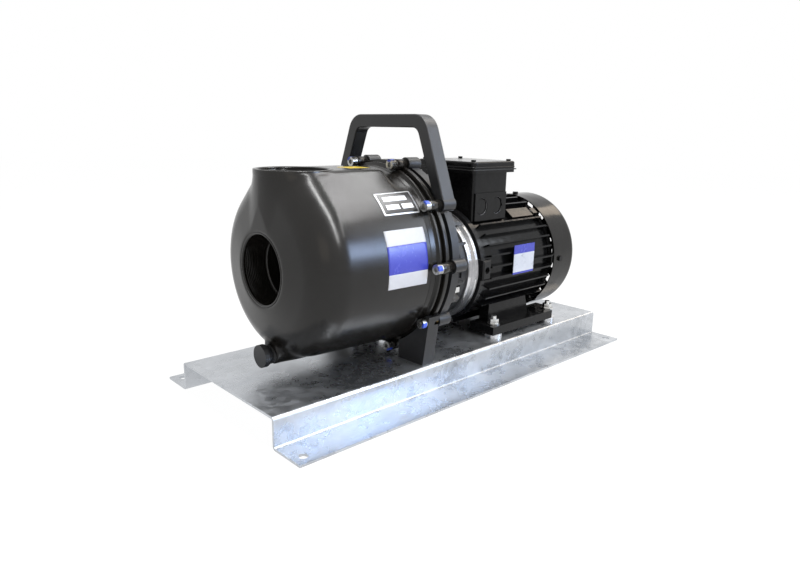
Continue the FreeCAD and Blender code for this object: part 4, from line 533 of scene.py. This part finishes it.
def body_field(x, y, z):
    """Signed distance to the body: its outside, less the cavity, the ports and the drain."""
    up = z - AXIS
    r = np.hypot(y, up)
    side, rise = math.sin(FLANK_TURN), math.cos(FLANK_TURN)
    flat = np.abs(y) * side + up * rise
    in_wedge = (np.abs(y) * rise < up * side) & (up > 0)
    barrel = outline_distance(x, r, BARREL_CORE) - SHOULDER
    ridge = outline_distance(x, np.where(in_wedge, flat, r), BARREL_CORE) - SHOULDER
    barrel += (ridge - barrel) * (1 - ramp(x, *RIDGE_FADE))
    from_mouth, from_drain = np.hypot(x - MOUTH_X, y), np.hypot(y, z - DRAIN_Z)
    collar = np.maximum(from_mouth - COLLAR_RADIUS, COLLAR_FOOT - z)
    top = z - MOUTH_TOP - RIDGE_RISE * np.maximum(x - RIDGE_END, 0)
    drain = np.maximum(soft_max(from_drain - DRAIN_RADIUS, DRAIN_FRONT - x, DRAIN_EDGE),
                       x - DRAIN_REAR)
    outer = soft_max(soft_min(barrel, collar, COLLAR_BLEND), top, TOP_BLEND)
    outer = np.maximum(soft_min(outer, drain, DRAIN_BLEND), FRONT - x)
    outer = soft_max(outer, x - REAR, JOINT_EDGE)
    spigot = np.maximum(r - SPIGOT_RADIUS, x - SPIGOT_END)
    cavity = soft_max(outline_distance(x, r, CAVITY), -spigot, CAVITY_EDGE)
    suction = np.minimum.reduce([np.maximum(r - radius, x - end) for radius, end in SUCTION_BORES])
    mouth = np.maximum(from_mouth - MOUTH_RADIUS, MOUTH_FLOOR - z)
    drain_bore = np.maximum(from_drain - DRAIN_BORE, x - DRAIN_BORE_END)
    body = soft_max(outer, -cavity, CAVITY_EDGE)
    for hole, edge in ((suction, SUCTION_EDGE), (mouth, MOUTH_EDGE), (drain_bore, DRAIN_BORE_EDGE)):
        body = soft_max(body, -hole, edge)
    return body


SLOPE_REACH, LEAST_SLOPE, PULL_ROUNDS = 0.2, 0.2, 4


def crossing_cells(values, inside, cells):
    """Sum and number of the level's crossings on each cell's twelve edges."""
    total = np.zeros(cells + (3,), np.float32)
    count = np.zeros(cells, np.float32)
    for axis in range(3):
        others = [a for a in range(3) if a != axis]
        for first in (0, 1):
            for second in (0, 1):
                start = [0, 0, 0]
                start[others[0]], start[others[1]] = first, second
                here = tuple(slice(s, s + n) for s, n in zip(start, cells))
                there = tuple(slice(s + (a == axis), s + (a == axis) + n)
                              for a, (s, n) in enumerate(zip(start, cells)))
                v0, v1 = values[here], values[there]
                crossed = inside[here] != inside[there]
                share = np.where(crossed, v0 / np.where(crossed, v0 - v1, 1), 0)
                for a in range(3):
                    total[..., a] += np.where(crossed, share if a == axis else start[a], 0)
                count += crossed
    return total, count


def crossing_quads(inside, number):
    """One quad round each grid edge that the level crosses, facing outwards."""
    quads = []
    for axis in range(3):
        b, c = (axis + 1) % 3, (axis + 2) % 3
        size = list(inside.shape)
        size[axis] -= 1
        here = [slice(1, n - 1) for n in inside.shape]
        here[axis] = slice(0, size[axis])
        there = list(here)
        there[axis] = slice(1, size[axis] + 1)
        crossed = inside[tuple(here)] != inside[tuple(there)]
        at = np.argwhere(crossed)
        for a in (b, c):
            at[:, a] += 1
        flips = inside[tuple(here)][crossed]
        step_b, step_c = np.eye(3, dtype=int)[b], np.eye(3, dtype=int)[c]
        ring = [number[tuple((at - shift).T)]
                for shift in (step_b + step_c, step_c, 0 * step_b, step_b)]
        quad = np.stack(ring, 1)
        quad[~flips] = quad[~flips][:, ::-1]
        quads.append(quad)
    return np.concatenate(quads)


def surface_net(field, low, high, step):
    """Quads on the zero level of a field: a point in each crossed cell, moved onto the level."""
    axes = [np.arange(a, b + step, step, dtype=np.float32) for a, b in zip(low, high)]
    values = field(*np.meshgrid(*axes, indexing="ij"))
    inside = values < 0
    cells = tuple(n - 1 for n in values.shape)
    total, count = crossing_cells(values, inside, cells)
    filled = count > 0
    number = np.full(cells, -1, np.int64)
    number[filled] = np.arange(filled.sum())
    corner = np.argwhere(filled)
    points = (corner + total[filled] / count[filled][:, None]) * step + np.array(low)
    quads = crossing_quads(inside, number)
    for _ in range(PULL_ROUNDS):
        value = field(*points.T)
        slope = np.stack([(field(*(points + d).T) - field(*(points - d).T))
                          for d in np.eye(3) * SLOPE_REACH], 1) / (2 * SLOPE_REACH)
        size = np.maximum((slope ** 2).sum(1), LEAST_SLOPE)
        move = slope * (value / size)[:, None]
        points = points - np.clip(move, -step / 2, step / 2)
    return points * MM, quads


def make_body():
    points, quads = surface_net(body_field, GRID_LOW, GRID_HIGH, GRID_STEP)
    shell = fit(new_piece("body_shell", points, quads, POLYMER))
    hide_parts("pump_body")


# Lip and rim in front of the joint, as (distance from the joint, radius) in millimetres
FLANGE_OUTLINE = (
    (27, 116), (26, 119.9), (17, 120.6), (15.6, 124.5), (12, 124.5), (11.6, 121.4), (8.6, 121.4),
    (8, 128), (2, 128), (1.4, 121.6), (0, 121.6), (0, 112), (20, 112))
FLANGE_STEPS, FLANGE_EDGE = 256, 0.7 * MM


def make_joint_flange():
    outline = [(JOINT - back * MM, radius * MM) for back, radius in FLANGE_OUTLINE]
    flange = lathe("body_joint_flange", outline, PUMP_Z, POLYMER, FLANGE_STEPS, FLANGE_EDGE)
    fit(flange)


# Pieces that repeat round the joint

def ring_tree():
    """Geometry Nodes: copies of a piece evenly round an X axis, with up to two places left out."""
    tree = bpy.data.node_groups.new("RingOfCopies", "GeometryNodeTree")
    for name, kind in (("Geometry", "Geometry"), ("Count", "Int"), ("Axis Height", "Float"),
                       ("First Gap", "Int"), ("Second Gap", "Int"), ("Material", "Material")):
        tree.interface.new_socket(name, in_out="INPUT", socket_type="NodeSocket" + kind)
    tree.interface.new_socket("Geometry", in_out="OUTPUT", socket_type="NodeSocketGeometry")
    given = tree.nodes.new("NodeGroupInput").outputs
    made = tree.nodes.new("NodeGroupOutput").inputs
    nowhere = (0.0, 0.0, 0.0)
    centre = add(tree, "ShaderNodeCombineXYZ", {"Z": given["Axis Height"]}).outputs[0]
    spots = add(tree, "GeometryNodeMeshLine", {"Count": given["Count"], "Start Location": centre,
                                               "Offset": nowhere})
    index = tree.nodes.new("GeometryNodeInputIndex").outputs[0]
    keeps = []
    for gap in ("First Gap", "Second Gap"):
        differs = add(tree, "FunctionNodeCompare", data_type="INT", operation="NOT_EQUAL")
        feed(tree, differs.inputs[2], index)
        feed(tree, differs.inputs[3], given[gap])
        keeps.append(differs.outputs[0])
    keep = add(tree, "FunctionNodeBooleanMath", dict(enumerate(keeps)), operation="AND")
    share = math_node(tree, "DIVIDE", index, given["Count"])
    turn = math_node(tree, "MULTIPLY", share, 2 * math.pi)
    angles = add(tree, "ShaderNodeCombineXYZ", {"X": turn})
    down = add(tree, "ShaderNodeVectorMath", {0: nowhere, 1: centre}, operation="SUBTRACT")
    shifted = add(tree, "GeometryNodeTransform", {"Geometry": given["Geometry"],
                                                  "Translation": down.outputs[0]})
    copies = add(tree, "GeometryNodeInstanceOnPoints", {
        "Points": spots.outputs[0], "Selection": keep.outputs[0],
        "Instance": shifted.outputs[0], "Rotation": angles.outputs[0]})
    real = add(tree, "GeometryNodeRealizeInstances", {"Geometry": copies.outputs[0]})
    painted = add(tree, "GeometryNodeSetMaterial", {"Geometry": real.outputs[0],
                                                    "Material": given["Material"]})
    feed(tree, made[0], painted.outputs[0])
    return tree


RING_TREE = ring_tree()
NO_GAPS = (-1, -1)


def bolt_ring(piece, material, gaps=NO_GAPS):
    """Copy a piece to every clamp bolt but those at the gaps, and keep it as a plain mesh."""
    modifier = piece.modifiers.new("ring", "NODES")
    modifier.node_group = RING_TREE
    values = {"Count": BOLT_COUNT, "Axis Height": PUMP_Z, "First Gap": gaps[0],
              "Second Gap": gaps[1], "Material": material}
    for socket in RING_TREE.interface.items_tree:
        if socket.in_out == "INPUT" and socket.name in values:
            modifier[socket.identifier] = values[socket.name]
    return apply_modifiers(piece)


def on_ring(turn, radius):
    """(y, z) at an angle round the pump's axis, from the top towards -Y."""
    return -radius * math.sin(turn), PUMP_Z + radius * math.cos(turn)


def round_bar(name, x0, x1, y, z, outline, material, steps=40):
    """A turned bar along X at (y, z); the outline is (share of length, radius)."""
    points = []
    for share, radius in outline:
        for step in range(steps):
            turn = 2 * math.pi * step / steps
            points.append((x0 + (x1 - x0) * share,
                           y + radius * math.sin(turn), z + radius * math.cos(turn)))
    faces = wrapped_faces(len(outline), steps, closed=False) + end_caps(len(outline), steps)
    return new_piece(name, points, faces, material)


BOSS_LENGTH = 20 * MM
BOSS_OUTLINE = ((0, 6.2 * MM), (0.03, 6.8 * MM), (0.08, 7 * MM), (1, 7 * MM))


def make_bosses():
    y, z = on_ring(BOLT_FIRST, BOLT_CIRCLE)
    boss = round_bar("body_bolt_bosses", JOINT - BOSS_LENGTH, JOINT, y, z, BOSS_OUTLINE, POLYMER)
    fit(bolt_ring(boss, POLYMER, FOOT_BOLTS))


# Bolt heads' paint: the section is (distance from the head's face in mm, share of its radius)
HEAD_RADIUS, HEAD_FACE = 6.55 * MM, JOINT - 28.3 * MM
MARK_SECTION = ((-0.05, 0.6), (-0.05, 1.02), (6.5, 1.02), (6.5, 1.0), (0.3, 1.0), (0.3, 0.6))
MARK_START, MARK_SWEEP, MARK_STEPS = -0.45, 1.1, 10
MARK_UNEVEN, MARK_WOBBLE = 0.25, 3.1


def make_paint_marks():
    """A dab of paint from each clamp bolt's head on to its side, as a check mark."""
    y, z = on_ring(BOLT_FIRST, BOLT_CIRCLE)
    points, count = [], len(MARK_SECTION)
    for step in range(MARK_STEPS + 1):
        turn = MARK_START + MARK_SWEEP * step / MARK_STEPS
        length = 1 + MARK_UNEVEN * math.sin(MARK_WOBBLE * step)
        for along, reach in MARK_SECTION:
            x = HEAD_FACE + along * (length if along > 1 else 1) * MM
            points.append((x, y + reach * HEAD_RADIUS * math.sin(turn),
                           z + reach * HEAD_RADIUS * math.cos(turn)))
    faces = wrapped_faces(MARK_STEPS + 1, count, closed=False) + end_caps(MARK_STEPS + 1, count)
    mark = new_piece("paint_marks", points, faces, PAINT_MARK, smooth=False)
    fit(bolt_ring(mark, PAINT_MARK))


# Threads of the two ports: each lip is (depth, width outside the port's radius) in millimetres
PORT_DEPTH = 31 * MM
THREAD_PITCH, THREAD_START, THREAD_RUN_IN = 2.31 * MM, 1.4 * MM, 2 * MM
THREAD_STEPS, ROWS_PER_PITCH = 144, 6
THREAD_GAP, SLEEVE_WALL, LIP_THICKNESS = 0.1, 2 * MM, 1.1 * MM
SUCTION_LIP = ((0.9, 3.4), (0.15, 2.9), (0.1, 1.9), (0.4, 1.3))
DISCHARGE_LIP = ((5.5, 5.75), (1.0, 5.75), (0.25, 5.4), (0.0, 4.7), (0.0, 2.4), (0.3, 1.6),
                 (1.0, 1.2))
DISCHARGE_LIP_RISE = 0.5 * MM


def thread_ring(name, axis, centre, top, ridge, lip):
    """Threaded sleeve of a port: its lip, and a helical thread down the wall."""
    rows = int(PORT_DEPTH / THREAD_PITCH * ROWS_PER_PITCH)
    profile = [(down * MM, PORT_RADIUS + width * MM) for down, width in lip]
    points = []
    for step in range(THREAD_STEPS):
        turn = 2 * math.pi * step / THREAD_STEPS
        column = list(profile)
        for row in range(rows):
            down = THREAD_START + row * (PORT_DEPTH - THREAD_START) / (rows - 1)
            wave = abs(((down / THREAD_PITCH - step / THREAD_STEPS) % 1.0) - 0.5) * 2
            fade = min(1.0, (down - THREAD_START) / THREAD_RUN_IN)
            column.append((down, PORT_RADIUS + (THREAD_GAP + ridge * wave * fade) * MM))
        column.append((PORT_DEPTH, PORT_RADIUS + SLEEVE_WALL))
        column.append((lip[0][0] * MM + LIP_THICKNESS, PORT_RADIUS + lip[0][1] * MM))
        for down, radius in column:
            across, side = radius * math.cos(turn), radius * math.sin(turn)
            if axis == "x":
                points.append((top + down, across, centre[1] + side))
            else:
                points.append((centre[0] + across, side, top - down))
    faces = wrapped_faces(THREAD_STEPS, len(points) // THREAD_STEPS, flipped=True)
    if axis == "z":
        faces = [face[::-1] for face in faces]
    fit(new_piece(name, points, faces, POLYMER))


def make_ports():
    thread_ring("suction_thread", "x", (0, PUMP_Z), BODY_FRONT, 0.45, SUCTION_LIP)
    thread_ring("discharge_thread", "z", (DISCHARGE_X, 0), DISCHARGE_TOP + DISCHARGE_LIP_RISE, 0.9,
                DISCHARGE_LIP)


# Plates and stickers on the barrel, as places along X and angles from the top

PATCH_COLUMNS, PATCH_ROWS = 24, 30
PATCH_GAP, EDGE_SHARE = 0.05 * MM, 0.6
PLATE_X, PLATE_TURNS = (-157.5 * MM, -99.5 * MM), (math.radians(39.4), math.radians(55.4))
PLATE_RIM, PLATE_RIM_TURN = 1.2 * MM, 0.011
PLATE_LIFT, FIELD_LIFT, PANEL_LIFT, STICKER_LIFT = 0.5 * MM, 0.6 * MM, 0.68 * MM, 0.3 * MM
PANEL_CORNER, STICKER_CORNER = 0.3 * MM, 0.2 * MM
PLATE_PANELS = ((8, 48, 3.2, 6.6), (8, 30, 9.0, 12.4), (33, 52, 9.0, 12.4))
STICKER_X = (-167.5 * MM, -104 * MM)
STICKER_BANDS = ((64.4, 73.6, STICKER_WHITE), (73.6, 90.2, STICKER_BLUE),
                 (90.2, 99.0, STICKER_WHITE))


def barrel_radius(x):
    """Radius of the straight part of the barrel."""
    growth = PAST_JOINT_RADIUS - FACE_EDGE_RADIUS
    return (FACE_EDGE_RADIUS + growth * (x / MM - FACE) / (PAST_JOINT - FACE)) * MM


def barrel_patch(name, x0, x1, turn0, turn1, lift, material, slot, corner=1.5 * MM):
    """A thin plate that lies on the barrel, between two places and two angles from the top."""
    columns, rows = PATCH_COLUMNS, PATCH_ROWS
    points, faces = [], []
    for layer in (0, 1):
        for i in range(columns + 1):
            for j in range(rows + 1):
                across, along = i / columns, j / rows
                x = x0 + (x1 - x0) * across
                turn = turn0 + (turn1 - turn0) * along
                length = (turn1 - turn0) * barrel_radius(x)
                edge_x = min(across, 1 - across) * (x1 - x0)
                edge_y = min(along, 1 - along) * length
                if edge_x < corner and edge_y < corner:
                    short = corner - math.sqrt(max(corner ** 2 - (corner - edge_y) ** 2, 0))
                    x = max(x0 + short, min(x1 - short, x))
                radius = barrel_radius(x) / math.cos(max(FLANK_TURN - turn, 0)) + PATCH_GAP
                on_edge = i in (0, columns) or j in (0, rows)
                radius += lift * layer * (EDGE_SHARE if on_edge else 1)
                points.append((x, *on_ring(turn, radius)))
    per_layer = (columns + 1) * (rows + 1)
    for layer in (0, 1):
        for i in range(columns):
            for j in range(rows):
                a = layer * per_layer + i * (rows + 1) + j
                quad = (a, a + rows + 1, a + rows + 2, a + 1)
                faces.append(quad if layer == 0 else quad[::-1])
    rim = [(i, 0) for i in range(columns)] + [(columns, j) for j in range(rows)]
    rim += [(i, rows) for i in range(columns, 0, -1)] + [(0, j) for j in range(rows, 0, -1)]
    for (i, j), (k, m) in zip(rim, rim[1:] + rim[:1]):
        a, b = i * (rows + 1) + j, k * (rows + 1) + m
        faces.append((a, a + per_layer, b + per_layer, b))
    fit(new_piece(name, points, faces, material))


def make_plates():
    """The bare data plate and the plain sticker on the barrel's side."""
    (x0, x1), (top, bottom) = PLATE_X, PLATE_TURNS
    barrel_patch("body_plate", x0, x1, top, bottom, PLATE_LIFT, LABEL_SILVER, "stainless_steel")
    barrel_patch("body_plate_field", x0 + PLATE_RIM, x1 - PLATE_RIM, top + PLATE_RIM_TURN,
                 bottom - PLATE_RIM_TURN, FIELD_LIFT, LABEL_BLACK, "black_polymer")
    for number, (left, right, start, end) in enumerate(PLATE_PANELS):
        barrel_patch(f"body_plate_panel_{number}", x0 + left * MM, x0 + right * MM,
                     top + math.radians(start), top + math.radians(end), PANEL_LIFT, LABEL_SILVER,
                     "stainless_steel", corner=PANEL_CORNER)
    for number, (start, end, material) in enumerate(STICKER_BANDS):
        barrel_patch(f"body_sticker_{number}", *STICKER_X, math.radians(start), math.radians(end),
                     STICKER_LIFT, material, "black_polymer", corner=STICKER_CORNER)


# Flat plates: the sticker on the ridge, and the motor's nameplate with its bands' heights in mm

TOP_STICKER_X, TOP_STICKER_Y = (-148 * MM, -116 * MM), (-20 * MM, 8 * MM)
TOP_STICKER_THICKNESS, TOP_STICKER_EDGE = 0.3 * MM, 0.15 * MM
NAMEPLATE_X, NAMEPLATE_Y = (102 * MM, 152 * MM), -96.2 * MM
NAMEPLATE_THICKNESS, NAMEPLATE_EDGE = 0.8 * MM, 0.05 * MM
NAMEPLATE_MIDDLE, NAMEPLATE_HALF, NAMEPLATE_BOW = 156, 22, 0.5 * MM
NAMEPLATE_BANDS = ((134.5, 137.5, STICKER_BLUE), (137.5, 165.5, STICKER_GREY),
                   (165.5, 178.7, STICKER_BLUE))


def flat_plate(name, corners, thickness, material, edge):
    """A thin plate through four corners, raised along their common normal."""
    points = [Vector(corner) for corner in corners]
    normal = (points[1] - points[0]).cross(points[3] - points[0]).normalized() * thickness
    points += [point + normal for point in points]
    faces = [(3, 2, 1, 0), (4, 5, 6, 7)]
    faces += [(i, (i + 1) % 4, (i + 1) % 4 + 4, i + 4) for i in range(4)]
    fit(soften(new_piece(name, points, faces, material), edge))


def make_top_sticker():
    (x0, x1), (front, back), z = TOP_STICKER_X, TOP_STICKER_Y, DISCHARGE_TOP
    flat_plate("top_sticker", [(x0, front, z), (x1, front, z), (x1, back, z), (x0, back, z)],
               TOP_STICKER_THICKNESS, STICKER_YELLOW, TOP_STICKER_EDGE)


def make_nameplate():
    """Motor nameplate on the side fins: a pale field between blue bands, bent to the fins."""
    x0, x1 = NAMEPLATE_X
    for number, (low, high, material) in enumerate(NAMEPLATE_BANDS):
        y_low, y_high = (NAMEPLATE_Y + NAMEPLATE_BOW * abs(z - NAMEPLATE_MIDDLE) / NAMEPLATE_HALF
                         for z in (low, high))
        flat_plate(f"nameplate_{number}", [(x0, y_low, low * MM), (x1, y_low, low * MM),
                                           (x1, y_high, high * MM), (x0, y_high, high * MM)],
                   NAMEPLATE_THICKNESS, material, NAMEPLATE_EDGE)


# Trim of the terminal box, as sections of (out, along) in millimetres

BEAD_SECTION = ((-0.3, -1.1), (0.5, -0.8), (0.8, 0.0), (0.5, 0.8), (-0.3, 1.1))
BEAD_CORNER, BEAD_RISE, BEAD_STEPS = 8 * MM, 2.6 * MM, 8
GLAND_SECTION = ((0.3, 0.0), (1.5, 0.0), (2.2, -0.5), (2.4, 0.6), (0.0, 0.6), (0.0, -0.2))
GLAND_MARGIN, GLAND_OVERHANG, GLAND_PROUD, GLAND_STEPS = 1.2 * MM, 1.5 * MM, 0.8 * MM, 72


def make_lid_bead():
    """Raised bead round the terminal box lid, just above its joint."""
    low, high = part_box("terminal_box_lid")
    z, points = low[2] + BEAD_RISE, []
    for quarter, (x, y) in enumerate(((high[0], high[1]), (low[0], high[1]), (low[0], low[1]),
                                      (high[0], low[1]))):
        cx = x - BEAD_CORNER if x == high[0] else x + BEAD_CORNER
        cy = y - BEAD_CORNER if y == high[1] else y + BEAD_CORNER
        for step in range(BEAD_STEPS + 1):
            turn = (quarter + step / BEAD_STEPS) * math.pi / 2
            for out, rise in BEAD_SECTION:
                reach = BEAD_CORNER + out * MM
                points.append((cx + reach * math.cos(turn), cy + reach * math.sin(turn),
                               z + rise * MM))
    faces = wrapped_faces(4 * (BEAD_STEPS + 1), len(BEAD_SECTION), flipped=True)
    fit(new_piece("lid_bead", points, faces, ENAMEL))


def make_gland_rims():
    """Raised lips round the two knockouts of the terminal box, in lighter enamel as a painted
    highlight.
    """
    low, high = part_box("gland_plugs")
    z = (low[2] + high[2]) / 2
    radius = (high[2] - low[2]) / 2 + GLAND_MARGIN
    face = low[1] - GLAND_PROUD
    places = (low[0] + radius - GLAND_OVERHANG, high[0] - radius + GLAND_OVERHANG)
    for number, x in enumerate(places):
        points = []
        for step in range(GLAND_STEPS):
            turn = 2 * math.pi * step / GLAND_STEPS
            for out, along in GLAND_SECTION:
                reach = radius + out * MM
                points.append((x + reach * math.cos(turn), face + along * MM,
                               z + reach * math.sin(turn)))
        faces = wrapped_faces(GLAND_STEPS, len(GLAND_SECTION), flipped=True)
        fit(new_piece(f"gland_rim_{number}", points, faces, PAINTED_GLINT_ENAMEL))


# Floor, lights and camera

def seen_directly(tree):
    """1 for rays from the camera, a reflection or through glass, and 0 for light on the object."""
    rays = add(tree, "ShaderNodeLightPath").outputs
    seen = math_node(tree, "MAXIMUM", rays["Is Camera Ray"], rays["Is Glossy Ray"])
    return math_node(tree, "MAXIMUM", seen, rays["Is Transmission Ray"])


FLOOR_HALF, FLOOR_DROP = 6.0, 0.4 * MM
FLOOR_COLOUR, FLOOR_GLOW, FLOOR_SHARE = (0.86, 0.87, 0.88, 1), 1.08, 0.9
WORLD_LIGHT, WORLD_SEEN = 0.3, 1.0
WHITE = (1, 1, 1, 1)


def floor_material():
    """White to the camera and in reflections, while it keeps a share of its own shading."""
    material = bpy.data.materials.new("floor_white")
    tree = cleared_tree(material)
    share = math_node(tree, "MULTIPLY", seen_directly(tree), FLOOR_SHARE)
    matt = add(tree, "ShaderNodeBsdfDiffuse", {"Color": FLOOR_COLOUR})
    glow = add(tree, "ShaderNodeEmission", {"Color": WHITE, "Strength": FLOOR_GLOW})
    mixed = add(tree, "ShaderNodeMixShader", {0: share, 1: matt.outputs[0], 2: glow.outputs[0]})
    tree.links.new(mixed.outputs[0], add(tree, "ShaderNodeOutputMaterial").inputs[0])
    return material


def make_floor():
    half = FLOOR_HALF
    mesh = bpy.data.meshes.new("floor")
    mesh.from_pydata([(-half, -half, 0), (half, -half, 0), (half, half, 0), (-half, half, 0)],
                     [], [(0, 1, 2, 3)])
    floor = bpy.data.objects.new("floor", mesh)
    floor.location.z = -FLOOR_DROP
    bpy.context.scene.collection.objects.link(floor)
    mesh.materials.append(floor_material())


def make_world():
    world = bpy.data.worlds.new("studio")
    bpy.context.scene.world = world
    tree = cleared_tree(world)
    strength = spread(tree, seen_directly(tree), 0.0, 1.0, WORLD_LIGHT, WORLD_SEEN)
    back = add(tree, "ShaderNodeBackground", {"Color": WHITE, "Strength": strength})
    tree.links.new(back.outputs[0], add(tree, "ShaderNodeOutputWorld").inputs[0])


def area_light(name, place, target, size, radiance, colour=(1, 1, 1), cone=None):
    """A flat lamp of even brightness; the cone, if given, is the half angle its light keeps to."""
    data = bpy.data.lights.new(name, "AREA")
    data.shape, data.size, data.size_y = "RECTANGLE", size[0], size[1]
    share = 1.0
    if cone:
        data.spread = 2 * cone
        share = (math.tan(cone) - cone) / math.tan(cone)
    data.energy, data.color = radiance * math.pi * size[0] * size[1] * share, colour
    lamp = bpy.data.objects.new(name, data)
    lamp.location = place
    lamp.rotation_euler = (Vector(target) - Vector(place)).to_track_quat("-Z", "Y").to_euler()
    bpy.context.scene.collection.objects.link(lamp)


COOL, PALE, WARM = (0.52, 0.68, 1.0), (0.86, 0.92, 1.0), (1.0, 0.84, 0.66)
OVERHEAD = 1.48
OVERHEAD_LAMPS = (("tube_near", -0.13, -1.15, 0.12, 2.1, 36),
                  ("tube_far", 0.60, -0.85, 0.06, 1.7, 28), ("panel", 0.81, -0.35, 0.24, 1.2, 10))
BARREL_SIDE, HANDLE_SIDE = (-0.2, -0.11, 0.27), (-0.08, -0.1, 0.33)
WINDOW_CONE, DOOR_CONE = math.radians(17), math.radians(15)
OTHER_LAMPS = (
    ("window", (0.68, -1.25, 0.62), BARREL_SIDE, (0.34, 0.42), 21, COOL, WINDOW_CONE),
    ("window_glow", (0.70, -1.30, 0.62), BARREL_SIDE, (0.72, 0.95), 5, COOL, WINDOW_CONE),
    ("door", (0.95, -0.88, 0.94), HANDLE_SIDE, (0.40, 0.5), 8, PALE, DOOR_CONE),
    ("lamp_behind", (1.45, -0.1, 1.25), (0.2, -0.05, 0.2), (0.4, 0.8), 3.5, WARM),
    ("fill", (-1.5, -1.3, 0.9), (-0.15, -0.05, 0.2), (0.8, 0.8), 0.5, WARM))


def make_lights():
    """Lamps as in a workshop, each where the photograph shows its reflection."""
    for name, x, y, width, length, radiance in OVERHEAD_LAMPS:
        area_light(name, (x, y, OVERHEAD), (x, y, 0), (width, length), radiance)
    for lamp in OTHER_LAMPS:
        area_light(*lamp)


CAMERA_PLACE = (-0.657149, -0.658992, 0.342397)
CAMERA_YAW, CAMERA_PITCH, CAMERA_ROLL = -0.7536, 0.2491, 0.0208
FRAME_WIDTH, FOCAL_PIXELS, SENSOR = 800, 635.179, 36.0
NEAREST_SEEN, FARTHEST_SEEN = 0.01, 60


def make_camera():
    """The photograph's camera, as fitted to the part's corners."""
    yaw, pitch, roll = CAMERA_YAW, CAMERA_PITCH, CAMERA_ROLL
    back = Vector((math.sin(yaw) * math.cos(pitch), -math.cos(yaw) * math.cos(pitch),
                   math.sin(pitch)))
    right = Vector((math.cos(yaw), math.sin(yaw), 0.0))
    up = back.cross(right)
    turned_right = math.cos(roll) * right + math.sin(roll) * up
    turned_up = math.cos(roll) * up - math.sin(roll) * right
    data = bpy.data.cameras.new("photo_camera")
    data.sensor_width = SENSOR
    data.lens = FOCAL_PIXELS * SENSOR / FRAME_WIDTH
    data.clip_start, data.clip_end = NEAREST_SEEN, FARTHEST_SEEN
    camera = bpy.data.objects.new("photo_camera", data)
    camera.matrix_world = Matrix.Translation(CAMERA_PLACE) @ Matrix(
        (turned_right, turned_up, back)).transposed().to_4x4()
    bpy.context.scene.collection.objects.link(camera)
    bpy.context.scene.camera = camera


make_body()
make_joint_flange()
make_bosses()
make_ports()
make_plates()
make_top_sticker()
make_nameplate()
make_paint_marks()
make_gland_rims()
make_lid_bead()
make_floor()
make_world()
make_lights()
make_camera()

bpy.context.scene.view_settings.view_transform = "Standard"
